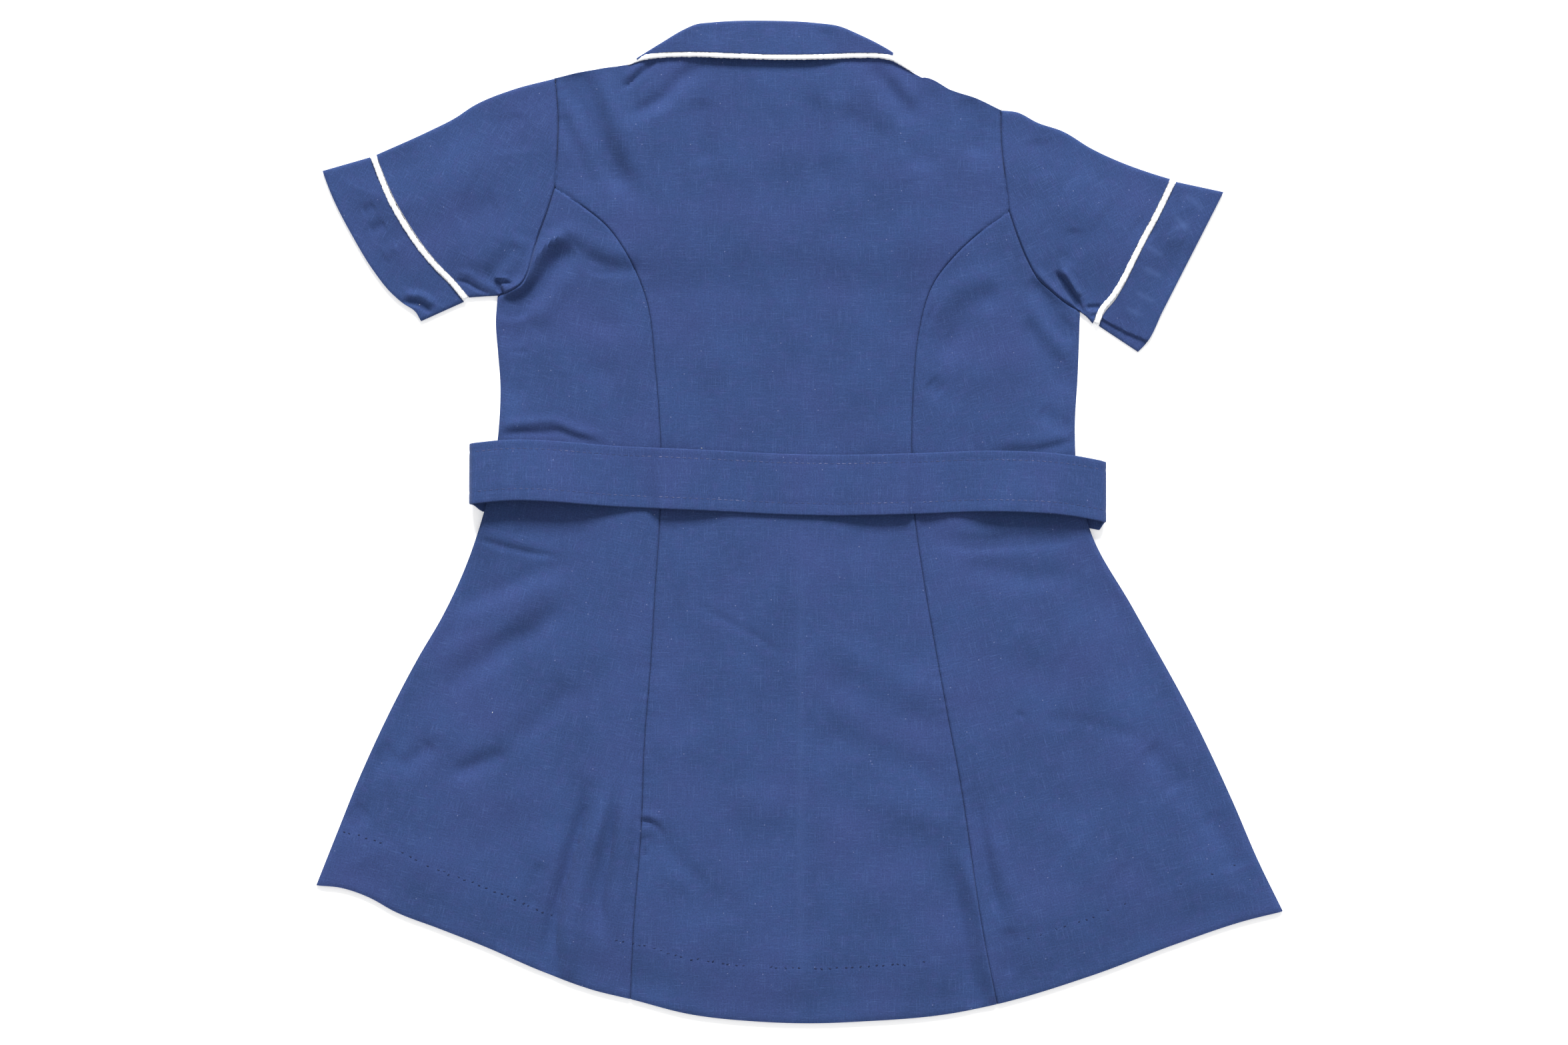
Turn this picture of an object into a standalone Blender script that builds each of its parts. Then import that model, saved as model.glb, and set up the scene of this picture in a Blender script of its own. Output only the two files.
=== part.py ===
# Child's nurse uniform dress, laid flat on its front, so its back faces up.
# Tables are in millimetres and meshes in metres, +Z up, collar towards +Y, left as seen from above.
# Two layers lie on the ground: the lower one is the fronts, the upper one is the back.

from collections import namedtuple

import bmesh
import bpy
import numpy as np

MM = 0.001

# Cloth
WALL = 1.2
SEAM_GAP = 0.3
LAYER_GAP = 0.5
PUFF = 2.1
PUFF_REACH = 20.0
WAIST_LEVEL = 20.0
TUBE_INSET = 0.7
NECK_EDGE = 2.0

# Belt: one strip round the waist, its front run on the ground
BELT_WIDTH = 34.0
BELT_WALL = 1.6
BELT_DROP = 5.0
BELT_ROW_MARGIN = 4.0
BELT_LIFT_MARGIN = 7.0
BELT_RAMP = 11.0
BELT_CALM = 34.0
BELT_END_GAP = 0.6
BELT_TURN_STEPS = 8
BELT_GROUND_STATIONS = 9
BELT_BACK_STATIONS = 25

# Piping: corded edge, wider than high
PIPING_WIDTH = 3.3
PIPING_HEIGHT = 2.0
PIPING_SIDES = 8
PIPING_SLOT = PIPING_WIDTH / 2 + 2 * SEAM_GAP
PIPING_SUNK = 0.3
PIPING_CLEARANCE = 0.5
CUFF_PIPING_STATIONS = 13
COLLAR_PIPING_STATIONS = 24
LEAF_PIPING_STATIONS = 25
PIPING_ENDS = (0.012, 0.988)
PIPING_TURN = (60, 20, -20, -60)

# Collar: its front leaves lie on the ground and lift the fronts
LEAF_LIFT = 2.6
LEAF_FADE = 30.0
COLLAR_TURN = 1.5
COLLAR_STATIONS = 18
COLLAR_ENDS = (-83.5, 54.0)
COLLAR_LEAST = 1.0
NECK_CLEARANCE = 0.3
LEAF_ZONE_LEFT = -99.0
LEAF_ZONE_RIGHT = 73.0
LEAF_ZONE_LOW = 162.0
LEAF_SPREAD = 6.0

# Mesh rows and columns
SKIRT_ROWS = 13
BODICE_ROWS = 8
YOKE_ROWS = 5
CENTRE_COLUMNS = 14
SIDE_COLUMNS = 8
FRONT_COLUMNS = 9
SLEEVE_SECTIONS = 8
CUFF_SECTIONS = 2
LEAF_ROWS = 11
LEAF_COLUMNS = 4

NAVY = (0.052, 0.088, 0.245, 1.0)
NAVY_DARK = (0.045, 0.078, 0.220, 1.0)
WHITE = (0.86, 0.87, 0.90, 1.0)

# Outline and seams. Columns: x, y. Sides and seams run from the hem up.
HEM = [
    (-269.9, -203.2), (-256.4, -204.5), (-240.6, -209.8), (-226.2, -217.7), (-201.3, -227.3),
    (-176.8, -236.9), (-143.5, -251.3), (-114.6, -261.8), (-94.5, -266.7), (-62.1, -275.0),
    (-22.8, -279.3), (10.1, -280.2), (32.8, -279.3), (86.2, -274.5), (110.3, -269.5),
    (163.2, -253.5), (210.0, -236.0), (248.9, -222.9), (269.9, -217.7),
]
CENTRE_FRONT = [(0.0, -280.1), (-3.0, -140.0), (-7.0, 20.0), (-11.0, 120.0), (-14.0, 211.0)]
BELT_MIDDLE = [(-184.0, 26.4), (-168.0, 28.1), (-98.0, 24.9), (-50.0, 22.8), (-7.3, 20.7),
               (17.0, 20.2), (63.0, 21.0), (110.0, 22.4), (153.0, 19.7), (171.0, 16.4)]

SIDE_SEAM = {
    "left": [(-269.9, -203.2), (-258.1, -173.5), (-247.2, -146.3), (-213.1, -76.3),
             (-199.1, -52.3), (-180.3, -8.5), (-172.5, 20.0), (-168.4, 46.2), (-167.1, 77.7),
             (-168.4, 94.3), (-169.6, 112.0), (-168.6, 126.0)],
    "right": [(269.9, -217.7), (256.4, -190.1), (241.9, -156.4), (221.8, -113.5),
              (185.9, -47.9), (162.5, -6.0), (155.4, 22.0), (153.6, 50.0), (155.3, 81.2),
              (156.6, 117.0)],
}
PRINCESS = {
    "left": [(-94.5, -266.7), (-92.8, -229.5), (-88.4, -172.6), (-86.6, -124.5), (-83.1, -80.7),
             (-80.5, -37.0), (-77.9, 2.4), (-77.4, 39.6), (-80.5, 85.5), (-85.8, 124.9),
             (-96.3, 149.0), (-107.2, 164.3), (-120.3, 175.2), (-136.5, 186.2)],
    "right": [(110.3, -269.5), (101.5, -225.1), (96.3, -190.1), (89.7, -146.3), (83.1, -111.3),
              (74.4, -63.2), (67.8, -23.8), (64.3, 2.4), (62.6, 38.3), (63.9, 81.2),
              (66.1, 103.0), (75.7, 134.5), (85.3, 146.8), (100.6, 161.2), (116.8, 173.0)],
}
# From the underarm to the princess seam, and on to the shoulder
ARMHOLE_LOW = {
    "left": [(-168.6, 126.0), (-155.3, 133.7), (-148.8, 146.8), (-144.4, 159.9),
             (-136.5, 186.2)],
    "right": [(156.6, 117.0), (135.6, 133.7), (127.8, 144.6), (121.6, 157.7), (116.8, 173.0)],
}
ARMHOLE_HIGH = {
    "left": [(-136.5, 186.2), (-135.2, 203.7), (-134.8, 225.5), (-136.5, 247.4)],
    "right": [(116.8, 173.0), (114.2, 194.9), (112.9, 208.0), (112.4, 229.6)],
}
BACK_TOP = [
    (-136.5, 247.4), (-125.6, 250.0), (-100.0, 254.0), (-92.5, 255.4), (-84.0, 260.5),
    (-60.0, 263.5), (-15.0, 264.0), (24.0, 263.5), (45.0, 260.0), (56.0, 254.5),
    (66.0, 248.6), (87.5, 239.5), (97.6, 236.5), (112.4, 229.6),
]
FRONT_TOP = {
    "left": [(-136.5, 247.4), (-125.6, 250.0), (-100.0, 254.0), (-92.5, 254.0), (-86.0, 241.0),
             (-74.0, 227.0), (-50.0, 216.0), (-14.0, 211.0)],
    "right": [(112.4, 229.6), (97.6, 236.5), (87.5, 239.5), (66.0, 247.0), (58.0, 234.0),
              (47.0, 223.0), (22.0, 214.0), (-14.0, 211.0)],
}
# Sleeves: the lines run from the underarm edge to the shoulder edge
CUFF_LINE = {
    "left": [(-185.9, 123.8), (-193.7, 133.2), (-202.0, 141.6), (-211.4, 153.0),
             (-219.8, 165.5), (-227.6, 179.1), (-233.3, 191.7), (-238.1, 204.1)],
    "right": [(165.4, 109.8), (167.6, 115.7), (174.4, 124.4), (180.2, 134.1), (186.0, 145.8),
              (191.9, 157.5), (197.7, 168.2), (203.6, 179.9), (208.6, 190.5)],
}
CUFF_HEM = {
    "left": [(-211.3, 111.8), (-214.4, 117.0), (-221.4, 121.8), (-227.9, 127.5),
             (-238.0, 140.2), (-249.4, 159.0), (-261.6, 183.1), (-266.4, 195.8)],
    "right": [(189.0, 94.7), (192.9, 98.7), (203.0, 118.0), (214.5, 140.5), (225.5, 162.0),
              (236.7, 184.0)],
}
# Outer edges of the sleeves, from the armhole to the cuff line
SLEEVE_TOP = {
    "left": [(-136.5, 247.4), (-160.0, 241.2), (-182.4, 232.1), (-193.8, 224.7),
             (-207.8, 217.7), (-238.1, 204.1)],
    "right": [(112.4, 229.6), (121.2, 228.6), (133.4, 222.5), (147.4, 217.7), (163.6, 208.0),
              (201.3, 192.7), (208.6, 190.5)],
}
SLEEVE_BOTTOM = {
    "left": [(-168.6, 126.0), (-177.0, 125.0), (-185.9, 123.8)],
    "right": [(156.6, 117.0), (161.0, 114.0), (165.4, 109.8)],
}
# Collar, back and front. The leaves' edges run from the centre front to the neck point.
ROLL_LINE = [(-91.5, 259.3), (-82.0, 267.5), (-55.6, 278.4), (-15.3, 279.7), (24.1, 275.6),
             (48.0, 266.5), (63.4, 256.2)]
FALL_EDGE = [(-91.5, 258.4), (-65.6, 261.4), (-19.7, 259.9), (13.1, 259.7), (39.4, 260.6),
             (63.4, 254.6)]
LEAF_INNER = {
    "left": [(-16.0, 207.0), (-50.0, 212.0), (-74.0, 223.0), (-84.5, 238.0), (-89.5, 250.0)],
    "right": [(-12.0, 207.0), (22.0, 210.0), (47.0, 219.0), (56.5, 232.0), (61.5, 246.0)],
}
LEAF_OUTER = {
    "left": [(-16.0, 202.0), (-30.0, 172.0), (-68.0, 192.0), (-88.0, 222.0), (-93.5, 251.0)],
    "right": [(-12.0, 202.0), (4.0, 170.0), (41.0, 188.0), (60.0, 216.0), (66.5, 246.0)],
}

# Largest folds of the upper layer: path, half width and height, below zero for a trough
Fold = namedtuple("Fold", "path width height")
FOLDS = [
    Fold([(-162.0, 131.0), (-144.4, 142.0), (-126.9, 160.0)], 9.0, -2.0),
    Fold([(-157.0, 145.0), (-140.0, 168.0)], 9.0, 1.0),
    Fold([(-122.5, 148.0), (-98.0, 141.1)], 8.0, -1.0),
    Fold([(-124.7, 243.0), (-109.4, 216.8), (-96.3, 197.1)], 9.0, -1.5),
    Fold([(-131.3, 225.5), (-113.8, 194.9), (-100.6, 177.4)], 8.0, -1.2),
    Fold([(-50.3, 254.0), (-48.1, 203.7)], 10.0, -1.0),
    Fold([(10.9, 247.4), (17.5, 186.2)], 10.0, -1.0),
    Fold([(74.4, 216.8), (65.6, 199.3)], 11.0, -1.0),
    Fold([(91.9, 234.3), (96.3, 215.0)], 8.0, -1.0),
    Fold([(129.1, 140.2), (140.0, 116.2), (149.0, 94.3)], 8.0, -1.8),
    Fold([(133.0, 108.0), (147.0, 76.8)], 8.0, -1.3),
    Fold([(74.4, 85.5), (91.9, 116.2), (118.1, 129.3)], 12.0, 1.1),
    Fold([(-155.0, 103.0), (-135.0, 98.7)], 9.0, -1.0),
    Fold([(-113.8, 83.3), (-90.0, 83.3)], 9.0, -0.9),
    Fold([(-172.0, -16.0), (-150.0, -20.0), (-126.9, -24.5)], 8.0, -1.2),
    Fold([(-190.0, -80.0), (-166.3, -67.6), (-135.6, -52.3)], 12.0, -1.4),
    Fold([(-183.0, -142.0), (-157.5, -124.5), (-122.5, -89.5)], 14.0, -1.6),
    Fold([(-227.5, -125.0), (-205.0, -110.0)], 13.0, 1.2),
    Fold([(-107.2, -146.3), (-122.5, -181.3), (-133.4, -212.0), (-137.0, -243.0)], 11.0, -2.2),
    Fold([(-142.0, -170.0), (-158.0, -225.0)], 12.0, 1.2),
    Fold([(0.0, -30.0), (0.0, -268.0)], 10.0, 0.9),
    Fold([(-56.9, -45.7), (-8.8, -74.2)], 12.0, -1.0),
    Fold([(8.8, -67.6), (74.4, -98.2)], 14.0, 1.0),
    Fold([(13.1, -115.7), (83.1, -146.3)], 13.0, -1.2),
    Fold([(-78.8, -181.3), (-52.5, -203.2)], 12.0, -1.0),
    Fold([(93.0, -175.0), (96.0, -225.1), (101.0, -260.0)], 10.0, -1.8),
    Fold([(125.0, -170.0), (140.0, -240.0)], 13.0, 1.2),
    Fold([(135.6, -111.3), (183.8, -115.7)], 13.0, -1.2),
    Fold([(222.0, -163.8), (236.0, -194.5)], 11.0, -1.2),
    Fold([(-176.0, 150.0), (-196.0, 190.0)], 13.0, 1.0),
    Fold([(150.0, 150.0), (178.0, 178.0)], 13.0, 1.0),
]


def smooth(table, steps=6):
    """Draws a rounded line through a table's points."""
    points = np.array(table, float)
    first = 2 * points[0] - points[1]
    last = 2 * points[-1] - points[-2]
    points = np.vstack([first, points, last])
    line = []
    for a, b, c, d in zip(points, points[1:], points[2:], points[3:]):
        for t in np.arange(steps) / steps:
            bend = (2 * a - 5 * b + 4 * c - d) * t**2 + (3 * b - a - 3 * c + d) * t**3
            line.append(0.5 * (2 * b + (c - a) * t + bend))
    line.append(points[-2])
    return np.array(line)


def lengths_along(line):
    """Gives the distance from a line's start to each of its points."""
    return np.concatenate([[0.0], np.cumsum(np.hypot(*np.diff(line, axis=0).T))])


def at_shares(line, shares):
    """Gives the points at these shares of a line's length."""
    along = lengths_along(line)
    where = np.asarray(shares) * along[-1]
    return np.column_stack([np.interp(where, along, line[:, i]) for i in range(2)])


def at_heights(line, heights):
    """Gives the points of a line that climbs in y, at these values of y."""
    return np.column_stack([np.interp(heights, line[:, 1], line[:, 0]), heights])


def at_widths(line, places):
    """Gives the points of a line that runs in x, at these values of x."""
    order = np.argsort(line[:, 0])
    return np.column_stack([places, np.interp(places, line[order, 0], line[order, 1])])


def normals_of(line, closed=False):
    """Gives the unit normals on a line's left side."""
    ahead = np.roll(line, -1, axis=0) - line
    behind = line - np.roll(line, 1, axis=0)
    if not closed:
        ahead[-1] = behind[-1]
        behind[0] = ahead[0]
    ahead /= np.hypot(*ahead.T)[:, None]
    behind /= np.hypot(*behind.T)[:, None]
    middle = ahead + behind
    middle /= np.hypot(*middle.T)[:, None]
    reach = np.maximum((middle * ahead).sum(axis=1), 0.4)[:, None]
    return np.column_stack([-middle[:, 1], middle[:, 0]]) / reach


def set_apart(line, distance):
    """Moves an open line to its left by a distance."""
    return line + normals_of(line) * distance


def distance_to(x, y, path):
    """Gives each point's distance to a path of straight runs."""
    best = np.full(np.shape(x), 1e9)
    for (x0, y0), (x1, y1) in zip(path, path[1:]):
        run = (x1 - x0) ** 2 + (y1 - y0) ** 2 + 1e-9
        share = np.clip(((x - x0) * (x1 - x0) + (y - y0) * (y1 - y0)) / run, 0, 1)
        best = np.minimum(best, np.hypot(x - x0 - share * (x1 - x0), y - y0 - share * (y1 - y0)))
    return best


def fade(value, low, high):
    """Goes smoothly from 0 at low to 1 at high."""
    t = np.clip((value - low) / (high - low), 0, 1)
    return t * t * (3 - 2 * t)


def whole_outline():
    """Joins the garment's outer edges in one line."""
    left = [SIDE_SEAM["left"], SLEEVE_BOTTOM["left"], CUFF_HEM["left"], SLEEVE_TOP["left"][::-1]]
    right = [SIDE_SEAM["right"], SLEEVE_BOTTOM["right"], CUFF_HEM["right"],
             SLEEVE_TOP["right"][::-1]]
    loop = sum(left, []) + ROLL_LINE + sum(right, [])[::-1] + HEM[::-1]
    return loop


OUTLINE = whole_outline()


def belt_middle(x):
    """Gives the y of the belt's middle line."""
    line = smooth(BELT_MIDDLE)
    return np.interp(x, line[:, 0], line[:, 1])


def belt_levels(x, margin):
    """Gives the four lines round the belt: foot, low edge, high edge, foot."""
    middle = belt_middle(x)
    low = middle - BELT_WIDTH / 2 - BELT_DROP - margin
    high = middle + BELT_WIDTH / 2 + margin
    return np.array([low - BELT_RAMP, low, high, high + BELT_RAMP])


def belt_lift(x, y):
    """Gives how far the belt's front run lifts the cloth."""
    foot, low, high, end = belt_levels(x, BELT_LIFT_MARGIN)
    up = np.clip((y - foot) / (low - foot), 0, 1)
    down = np.clip((end - y) / (end - high), 0, 1)
    return (BELT_WALL + SEAM_GAP) * np.minimum(up, down)


def leaf_lift(x, y, spread=0.0):
    """Gives how far the collar's front leaves lift the cloth."""
    left = LEAF_ZONE_LEFT - spread
    right = LEAF_ZONE_RIGHT + spread
    low = LEAF_ZONE_LOW - spread
    across = fade(x, left - LEAF_FADE, left) * fade(-x, -right - LEAF_FADE, -right)
    return LEAF_LIFT * across * fade(y, low - LEAF_FADE, low)


def lower(x, y):
    """Gives the underside of the lower layer."""
    return belt_lift(x, y) + leaf_lift(x, y)


def upper(x, y):
    """Gives the underside of the upper layer, with its puff and folds."""
    foot, low, high, end = belt_levels(x, BELT_LIFT_MARGIN)
    calm = np.maximum(fade(-y, -low, BELT_CALM - low), fade(y, high, high + BELT_CALM))
    relief = PUFF * fade(distance_to(x, y, OUTLINE), 0, PUFF_REACH * 2)
    for fold in FOLDS:
        near = distance_to(x, y, fold.path) / fold.width
        relief = relief + fold.height * np.exp(-near**2)
    bottom = belt_lift(x, y) + leaf_lift(x, y, LEAF_SPREAD) + WALL + LAYER_GAP
    edge = fade(distance_to(x, y, OUTLINE), 0, PUFF_REACH)
    return bottom + calm * edge * np.maximum(relief, 0)


def patch(low, high, left, right, low_weight=None, high_weight=None):
    """Fills the space between four lines that share their corners with rows of points."""
    rows = len(left)
    share = np.linspace(0, 1, rows)
    low_weight = 1 - share if low_weight is None else low_weight
    high_weight = share if high_weight is None else high_weight
    u = np.linspace(0, 1, len(low))[:, None]
    low_bulge = low - ((1 - u) * low[0] + u * low[-1])
    high_bulge = high - ((1 - u) * high[0] + u * high[-1])
    grid = []
    for row in range(rows):
        straight = (1 - u) * left[row] + u * right[row]
        grid.append(straight + low_weight[row] * low_bulge + high_weight[row] * high_bulge)
    return np.array(grid)


def drawn_in(low, high, left, right):
    """Moves four lines inwards by half a seam gap, their corners too."""
    loop = np.vstack([low, right[1:-1], high[::-1], left[1:-1][::-1]])
    ring = loop + normals_of(loop, closed=True) * SEAM_GAP / 2
    corners = np.cumsum([len(low) - 1, len(right) - 1, len(high) - 1])
    new_low = ring[:corners[0] + 1]
    new_right = ring[corners[0]:corners[1] + 1]
    new_high = ring[corners[1]:corners[2] + 1][::-1]
    new_left = np.vstack([ring[corners[2]:], ring[:1]])[::-1]
    return new_low, new_high, new_left, new_right


def belt_weights(above):
    """Lets the hem's curve fade out up to the belt, and the top's come in over it."""
    rows = SKIRT_ROWS + 5 + above
    index = np.arange(rows)
    low = np.clip(1 - index / SKIRT_ROWS, 0, 1)
    high = np.clip((index - SKIRT_ROWS - 4) / above, 0, 1)
    return low, high


def seam_rows(table, above):
    """Gives a seam's points: skirt rows, the lines round the belt, then the rows above."""
    line = smooth(table)
    waist_x = np.interp(WAIST_LEVEL, line[:, 1], line[:, 0])
    foot, low, high, end = belt_levels(waist_x, BELT_ROW_MARGIN)
    skirt = np.linspace(table[0][1], foot, SKIRT_ROWS + 1)
    bodice = np.linspace(end, table[-1][1], above + 1)
    heights = np.concatenate([skirt, [low, (low + high) / 2, high], bodice])
    return at_heights(line, heights)


def armhole(side):
    """Gives the armhole's points, from the underarm to the shoulder."""
    low = at_shares(smooth(ARMHOLE_LOW[side]), np.linspace(0, 1, SIDE_COLUMNS + 1))
    high = at_shares(smooth(ARMHOLE_HIGH[side]), np.linspace(0, 1, YOKE_ROWS + 1))
    return low, high


def hem_between(x0, x1, columns):
    """Gives the hem's points between two places."""
    return at_widths(smooth(HEM), np.linspace(x0, x1, columns + 1))


def add_object(name, mesh, color, roughness):
    """Puts a mesh in the scene with a material of its own."""
    material = bpy.data.materials.new(name + "_finish")
    material.use_nodes = True
    shader = material.node_tree.nodes["Principled BSDF"]
    shader.inputs["Base Color"].default_value = color
    shader.inputs["Roughness"].default_value = roughness
    shader.inputs["Metallic"].default_value = 0.0
    mesh.materials.append(material)
    piece = bpy.data.objects.new(name, mesh)
    bpy.data.collections["nurse_uniform_dress"].objects.link(piece)
    return piece


def mesh_from(name, work):
    """Closes a work mesh, turns its faces outwards and keeps it."""
    bmesh.ops.recalc_face_normals(work, faces=work.faces)
    mesh = bpy.data.meshes.new(name)
    work.to_mesh(mesh)
    work.free()
    return mesh


def cloth_panel(name, grid, underside, wall=WALL):
    """Makes a sheet on a grid of points and raises it by the cloth's thickness."""
    work = bmesh.new()
    heights = underside(grid[..., 0], grid[..., 1])
    rows = []
    for points, levels in zip(grid, heights):
        rows.append([work.verts.new((x * MM, y * MM, z * MM)) for (x, y), z in zip(points, levels)])
    for near, far in zip(rows, rows[1:]):
        for a, b, c, d in zip(near, near[1:], far[1:], far):
            work.faces.new((a, b, c, d))
    raised = bmesh.ops.extrude_face_region(work, geom=work.faces[:])
    top = [item for item in raised["geom"] if isinstance(item, bmesh.types.BMVert)]
    bmesh.ops.translate(work, verts=top, vec=(0, 0, wall * MM))
    return add_object(name, mesh_from(name, work), NAVY, 0.85)


def loft(name, rings, color, closed=False):
    """Joins rings of points in turn, with a face over each end unless the path closes."""
    work = bmesh.new()
    loops = [[work.verts.new(np.asarray(point) * MM) for point in ring] for ring in rings]
    pairs = list(zip(loops, loops[1:]))
    if closed:
        pairs.append((loops[-1], loops[0]))
    for near, far in pairs:
        for i in range(len(near)):
            j = (i + 1) % len(near)
            work.faces.new((near[i], near[j], far[j], far[i]))
    if not closed:
        work.faces.new(loops[0])
        work.faces.new(loops[-1])
    return add_object(name, mesh_from(name, work), color, 0.85)


def back_centre():
    """The panel between the two princess seams, from the hem to the neck."""
    edges = {}
    for side in ("left", "right"):
        seam = seam_rows(PRINCESS[side], BODICE_ROWS)
        edges[side] = np.vstack([seam, armhole(side)[1][1:]])
    low = hem_between(PRINCESS["left"][0][0], PRINCESS["right"][0][0], CENTRE_COLUMNS)
    high = at_widths(smooth(BACK_TOP), np.linspace(edges["left"][-1][0], edges["right"][-1][0],
                                                   CENTRE_COLUMNS + 1))
    lines = drawn_in(low, high, edges["left"], edges["right"])
    grid = patch(*lines, *belt_weights(BODICE_ROWS + YOKE_ROWS))
    cloth_panel("back_centre", grid, upper)


def back_side(side):
    """The panel between a princess seam and a side seam, up to the armhole."""
    outer = seam_rows(SIDE_SEAM[side], BODICE_ROWS)
    inner = seam_rows(PRINCESS[side], BODICE_ROWS)
    low = hem_between(outer[0][0], inner[0][0], SIDE_COLUMNS)
    high = armhole(side)[0]
    if side == "left":
        lines = drawn_in(low, high, outer, inner)
    else:
        lines = drawn_in(low[::-1], high[::-1], inner, outer)
    grid = patch(*lines, *belt_weights(BODICE_ROWS))
    cloth_panel("back_side_" + side, grid, upper)


def front(side):
    """A plain front from its side seam to the centre front, where the two meet."""
    arm_low, arm_high = armhole(side)
    outer = np.vstack([seam_rows(SIDE_SEAM[side], BODICE_ROWS), arm_low[1:], arm_high[1:]])
    inner = seam_rows(CENTRE_FRONT, BODICE_ROWS + SIDE_COLUMNS + YOKE_ROWS)
    low = hem_between(outer[0][0], inner[0][0], FRONT_COLUMNS)
    high = at_widths(smooth(FRONT_TOP[side]), np.linspace(outer[-1][0], inner[-1][0],
                                                          FRONT_COLUMNS + 1))
    if side == "left":
        lines = drawn_in(low, high, outer, inner)
    else:
        lines = drawn_in(low[::-1], high[::-1], inner, outer)
    grid = patch(*lines, *belt_weights(BODICE_ROWS + SIDE_COLUMNS + YOKE_ROWS))
    cloth_panel("front_" + side, grid, lower)


def flat_tube(name, grid):
    """Makes a flattened tube of cloth, one ring for each row of points."""
    outer_rings = []
    inner_rings = []
    for row in grid:
        bottom = lower(row[:, 0], row[:, 1])
        top = upper(row[:, 0], row[:, 1])
        outer_rings.append(tube_ring(row, bottom, top + WALL, 0.0))
        inner_rings.append(tube_ring(row, bottom + WALL, top, WALL))
    work = bmesh.new()
    outer = [[work.verts.new(np.array(point) * MM) for point in ring] for ring in outer_rings]
    inner = [[work.verts.new(np.array(point) * MM) for point in ring] for ring in inner_rings]
    count = len(outer[0])
    for shell in (outer, inner):
        for near, far in zip(shell, shell[1:]):
            for i in range(count):
                j = (i + 1) % count
                work.faces.new((near[i], near[j], far[j], far[i]))
    for end in (0, -1):
        for i in range(count):
            j = (i + 1) % count
            work.faces.new((outer[end][i], outer[end][j], inner[end][j], inner[end][i]))
    return add_object(name, mesh_from(name, work), NAVY, 0.85)


def tube_ring(row, bottom, top, inset):
    """Gives one ring: a fold, the upper run, the other fold and the lower run."""
    start = (row[1] - row[0]) / np.hypot(*(row[1] - row[0]))
    finish = (row[-2] - row[-1]) / np.hypot(*(row[-2] - row[-1]))
    run = row.copy()
    run[0] = row[0] + start * (inset + TUBE_INSET)
    run[-1] = row[-1] + finish * (inset + TUBE_INSET)
    ring = [(*(row[0] + start * inset), (bottom[0] + top[0]) / 2)]
    ring += [(x, y, z) for (x, y), z in zip(run, top)]
    ring.append((*(row[-1] + finish * inset), (bottom[-1] + top[-1]) / 2))
    ring += [(x, y, z) for (x, y), z in zip(run[::-1], bottom[::-1])]
    return ring


def outward(side):
    """Gives the sign that moves a cuff line towards the hand."""
    return 1 if side == "left" else -1


def sleeve(side):
    """A short sleeve, from the armhole to the piping."""
    arm_low, arm_high = armhole(side)
    near = np.vstack([arm_low, arm_high[1:]])
    along = lengths_along(near)
    near = set_apart(near, outward(side) * SEAM_GAP)
    far = at_shares(smooth(CUFF_LINE[side]), along / along[-1])
    far = set_apart(far, -outward(side) * PIPING_SLOT)
    shares = np.linspace(0, 1, SLEEVE_SECTIONS + 1)
    bottom = ended_at(at_shares(smooth(SLEEVE_BOTTOM[side]), shares), far[0])
    top = ended_at(at_shares(smooth(SLEEVE_TOP[side]), shares), far[-1])
    flat_tube("sleeve_" + side, sleeve_grid(side, near, far, bottom, top))


def ended_at(line, point):
    """Shears a line so that it ends at a point."""
    share = np.linspace(0, 1, len(line))[:, None]
    return line + share * (point - line[-1])


def sleeve_grid(side, near, far, bottom, top):
    """Fills a sleeve or cuff with rows that run from the underarm edge to the shoulder edge."""
    if side == "left":
        lines = drawn_in(near[::-1], far[::-1], top, bottom)
        return patch(*lines)[:, ::-1]
    lines = drawn_in(near, far, bottom, top)
    return patch(*lines)


def cuff(side):
    """The band below the piping."""
    near = set_apart(at_shares(smooth(CUFF_LINE[side]), sleeve_shares(side)),
                     outward(side) * PIPING_SLOT)
    far = at_shares(smooth(CUFF_HEM[side]), sleeve_shares(side))
    shares = np.linspace(0, 1, CUFF_SECTIONS + 1)[:, None]
    bottom = near[0] + shares * (far[0] - near[0])
    top = near[-1] + shares * (far[-1] - near[-1])
    flat_tube("cuff_" + side, sleeve_grid(side, near, far, bottom, top))


def sleeve_shares(side):
    """Gives the armhole's points as shares of its length."""
    arm_low, arm_high = armhole(side)
    along = lengths_along(np.vstack([arm_low, arm_high[1:]]))
    return along / along[-1]


def oval_ring(centre, across, normal):
    """Gives a ring of the piping's section."""
    ring = []
    for angle in np.linspace(0, 2 * np.pi, PIPING_SIDES, endpoint=False):
        side = np.cos(angle) * PIPING_WIDTH / 2
        rise = np.sin(angle) * PIPING_HEIGHT / 2
        ring.append(centre + side * across + rise * normal)
    return ring


def swept_piping(name, path, across, closed=False):
    """Sweeps the piping's section along a path, with a fixed way across or one for each point."""
    path = np.array(path, float)
    across = np.broadcast_to(across, path.shape)
    ahead = np.roll(path, -1, axis=0) - np.roll(path, 1, axis=0)
    if not closed:
        ahead[0] = path[1] - path[0]
        ahead[-1] = path[-1] - path[-2]
    rings = []
    for point, way, side in zip(path, ahead, across):
        way = way / np.linalg.norm(way)
        normal = np.cross(way, side)
        normal /= np.linalg.norm(normal)
        rings.append(oval_ring(point, np.cross(normal, way), normal))
    return loft(name, rings, WHITE, closed)


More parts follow.
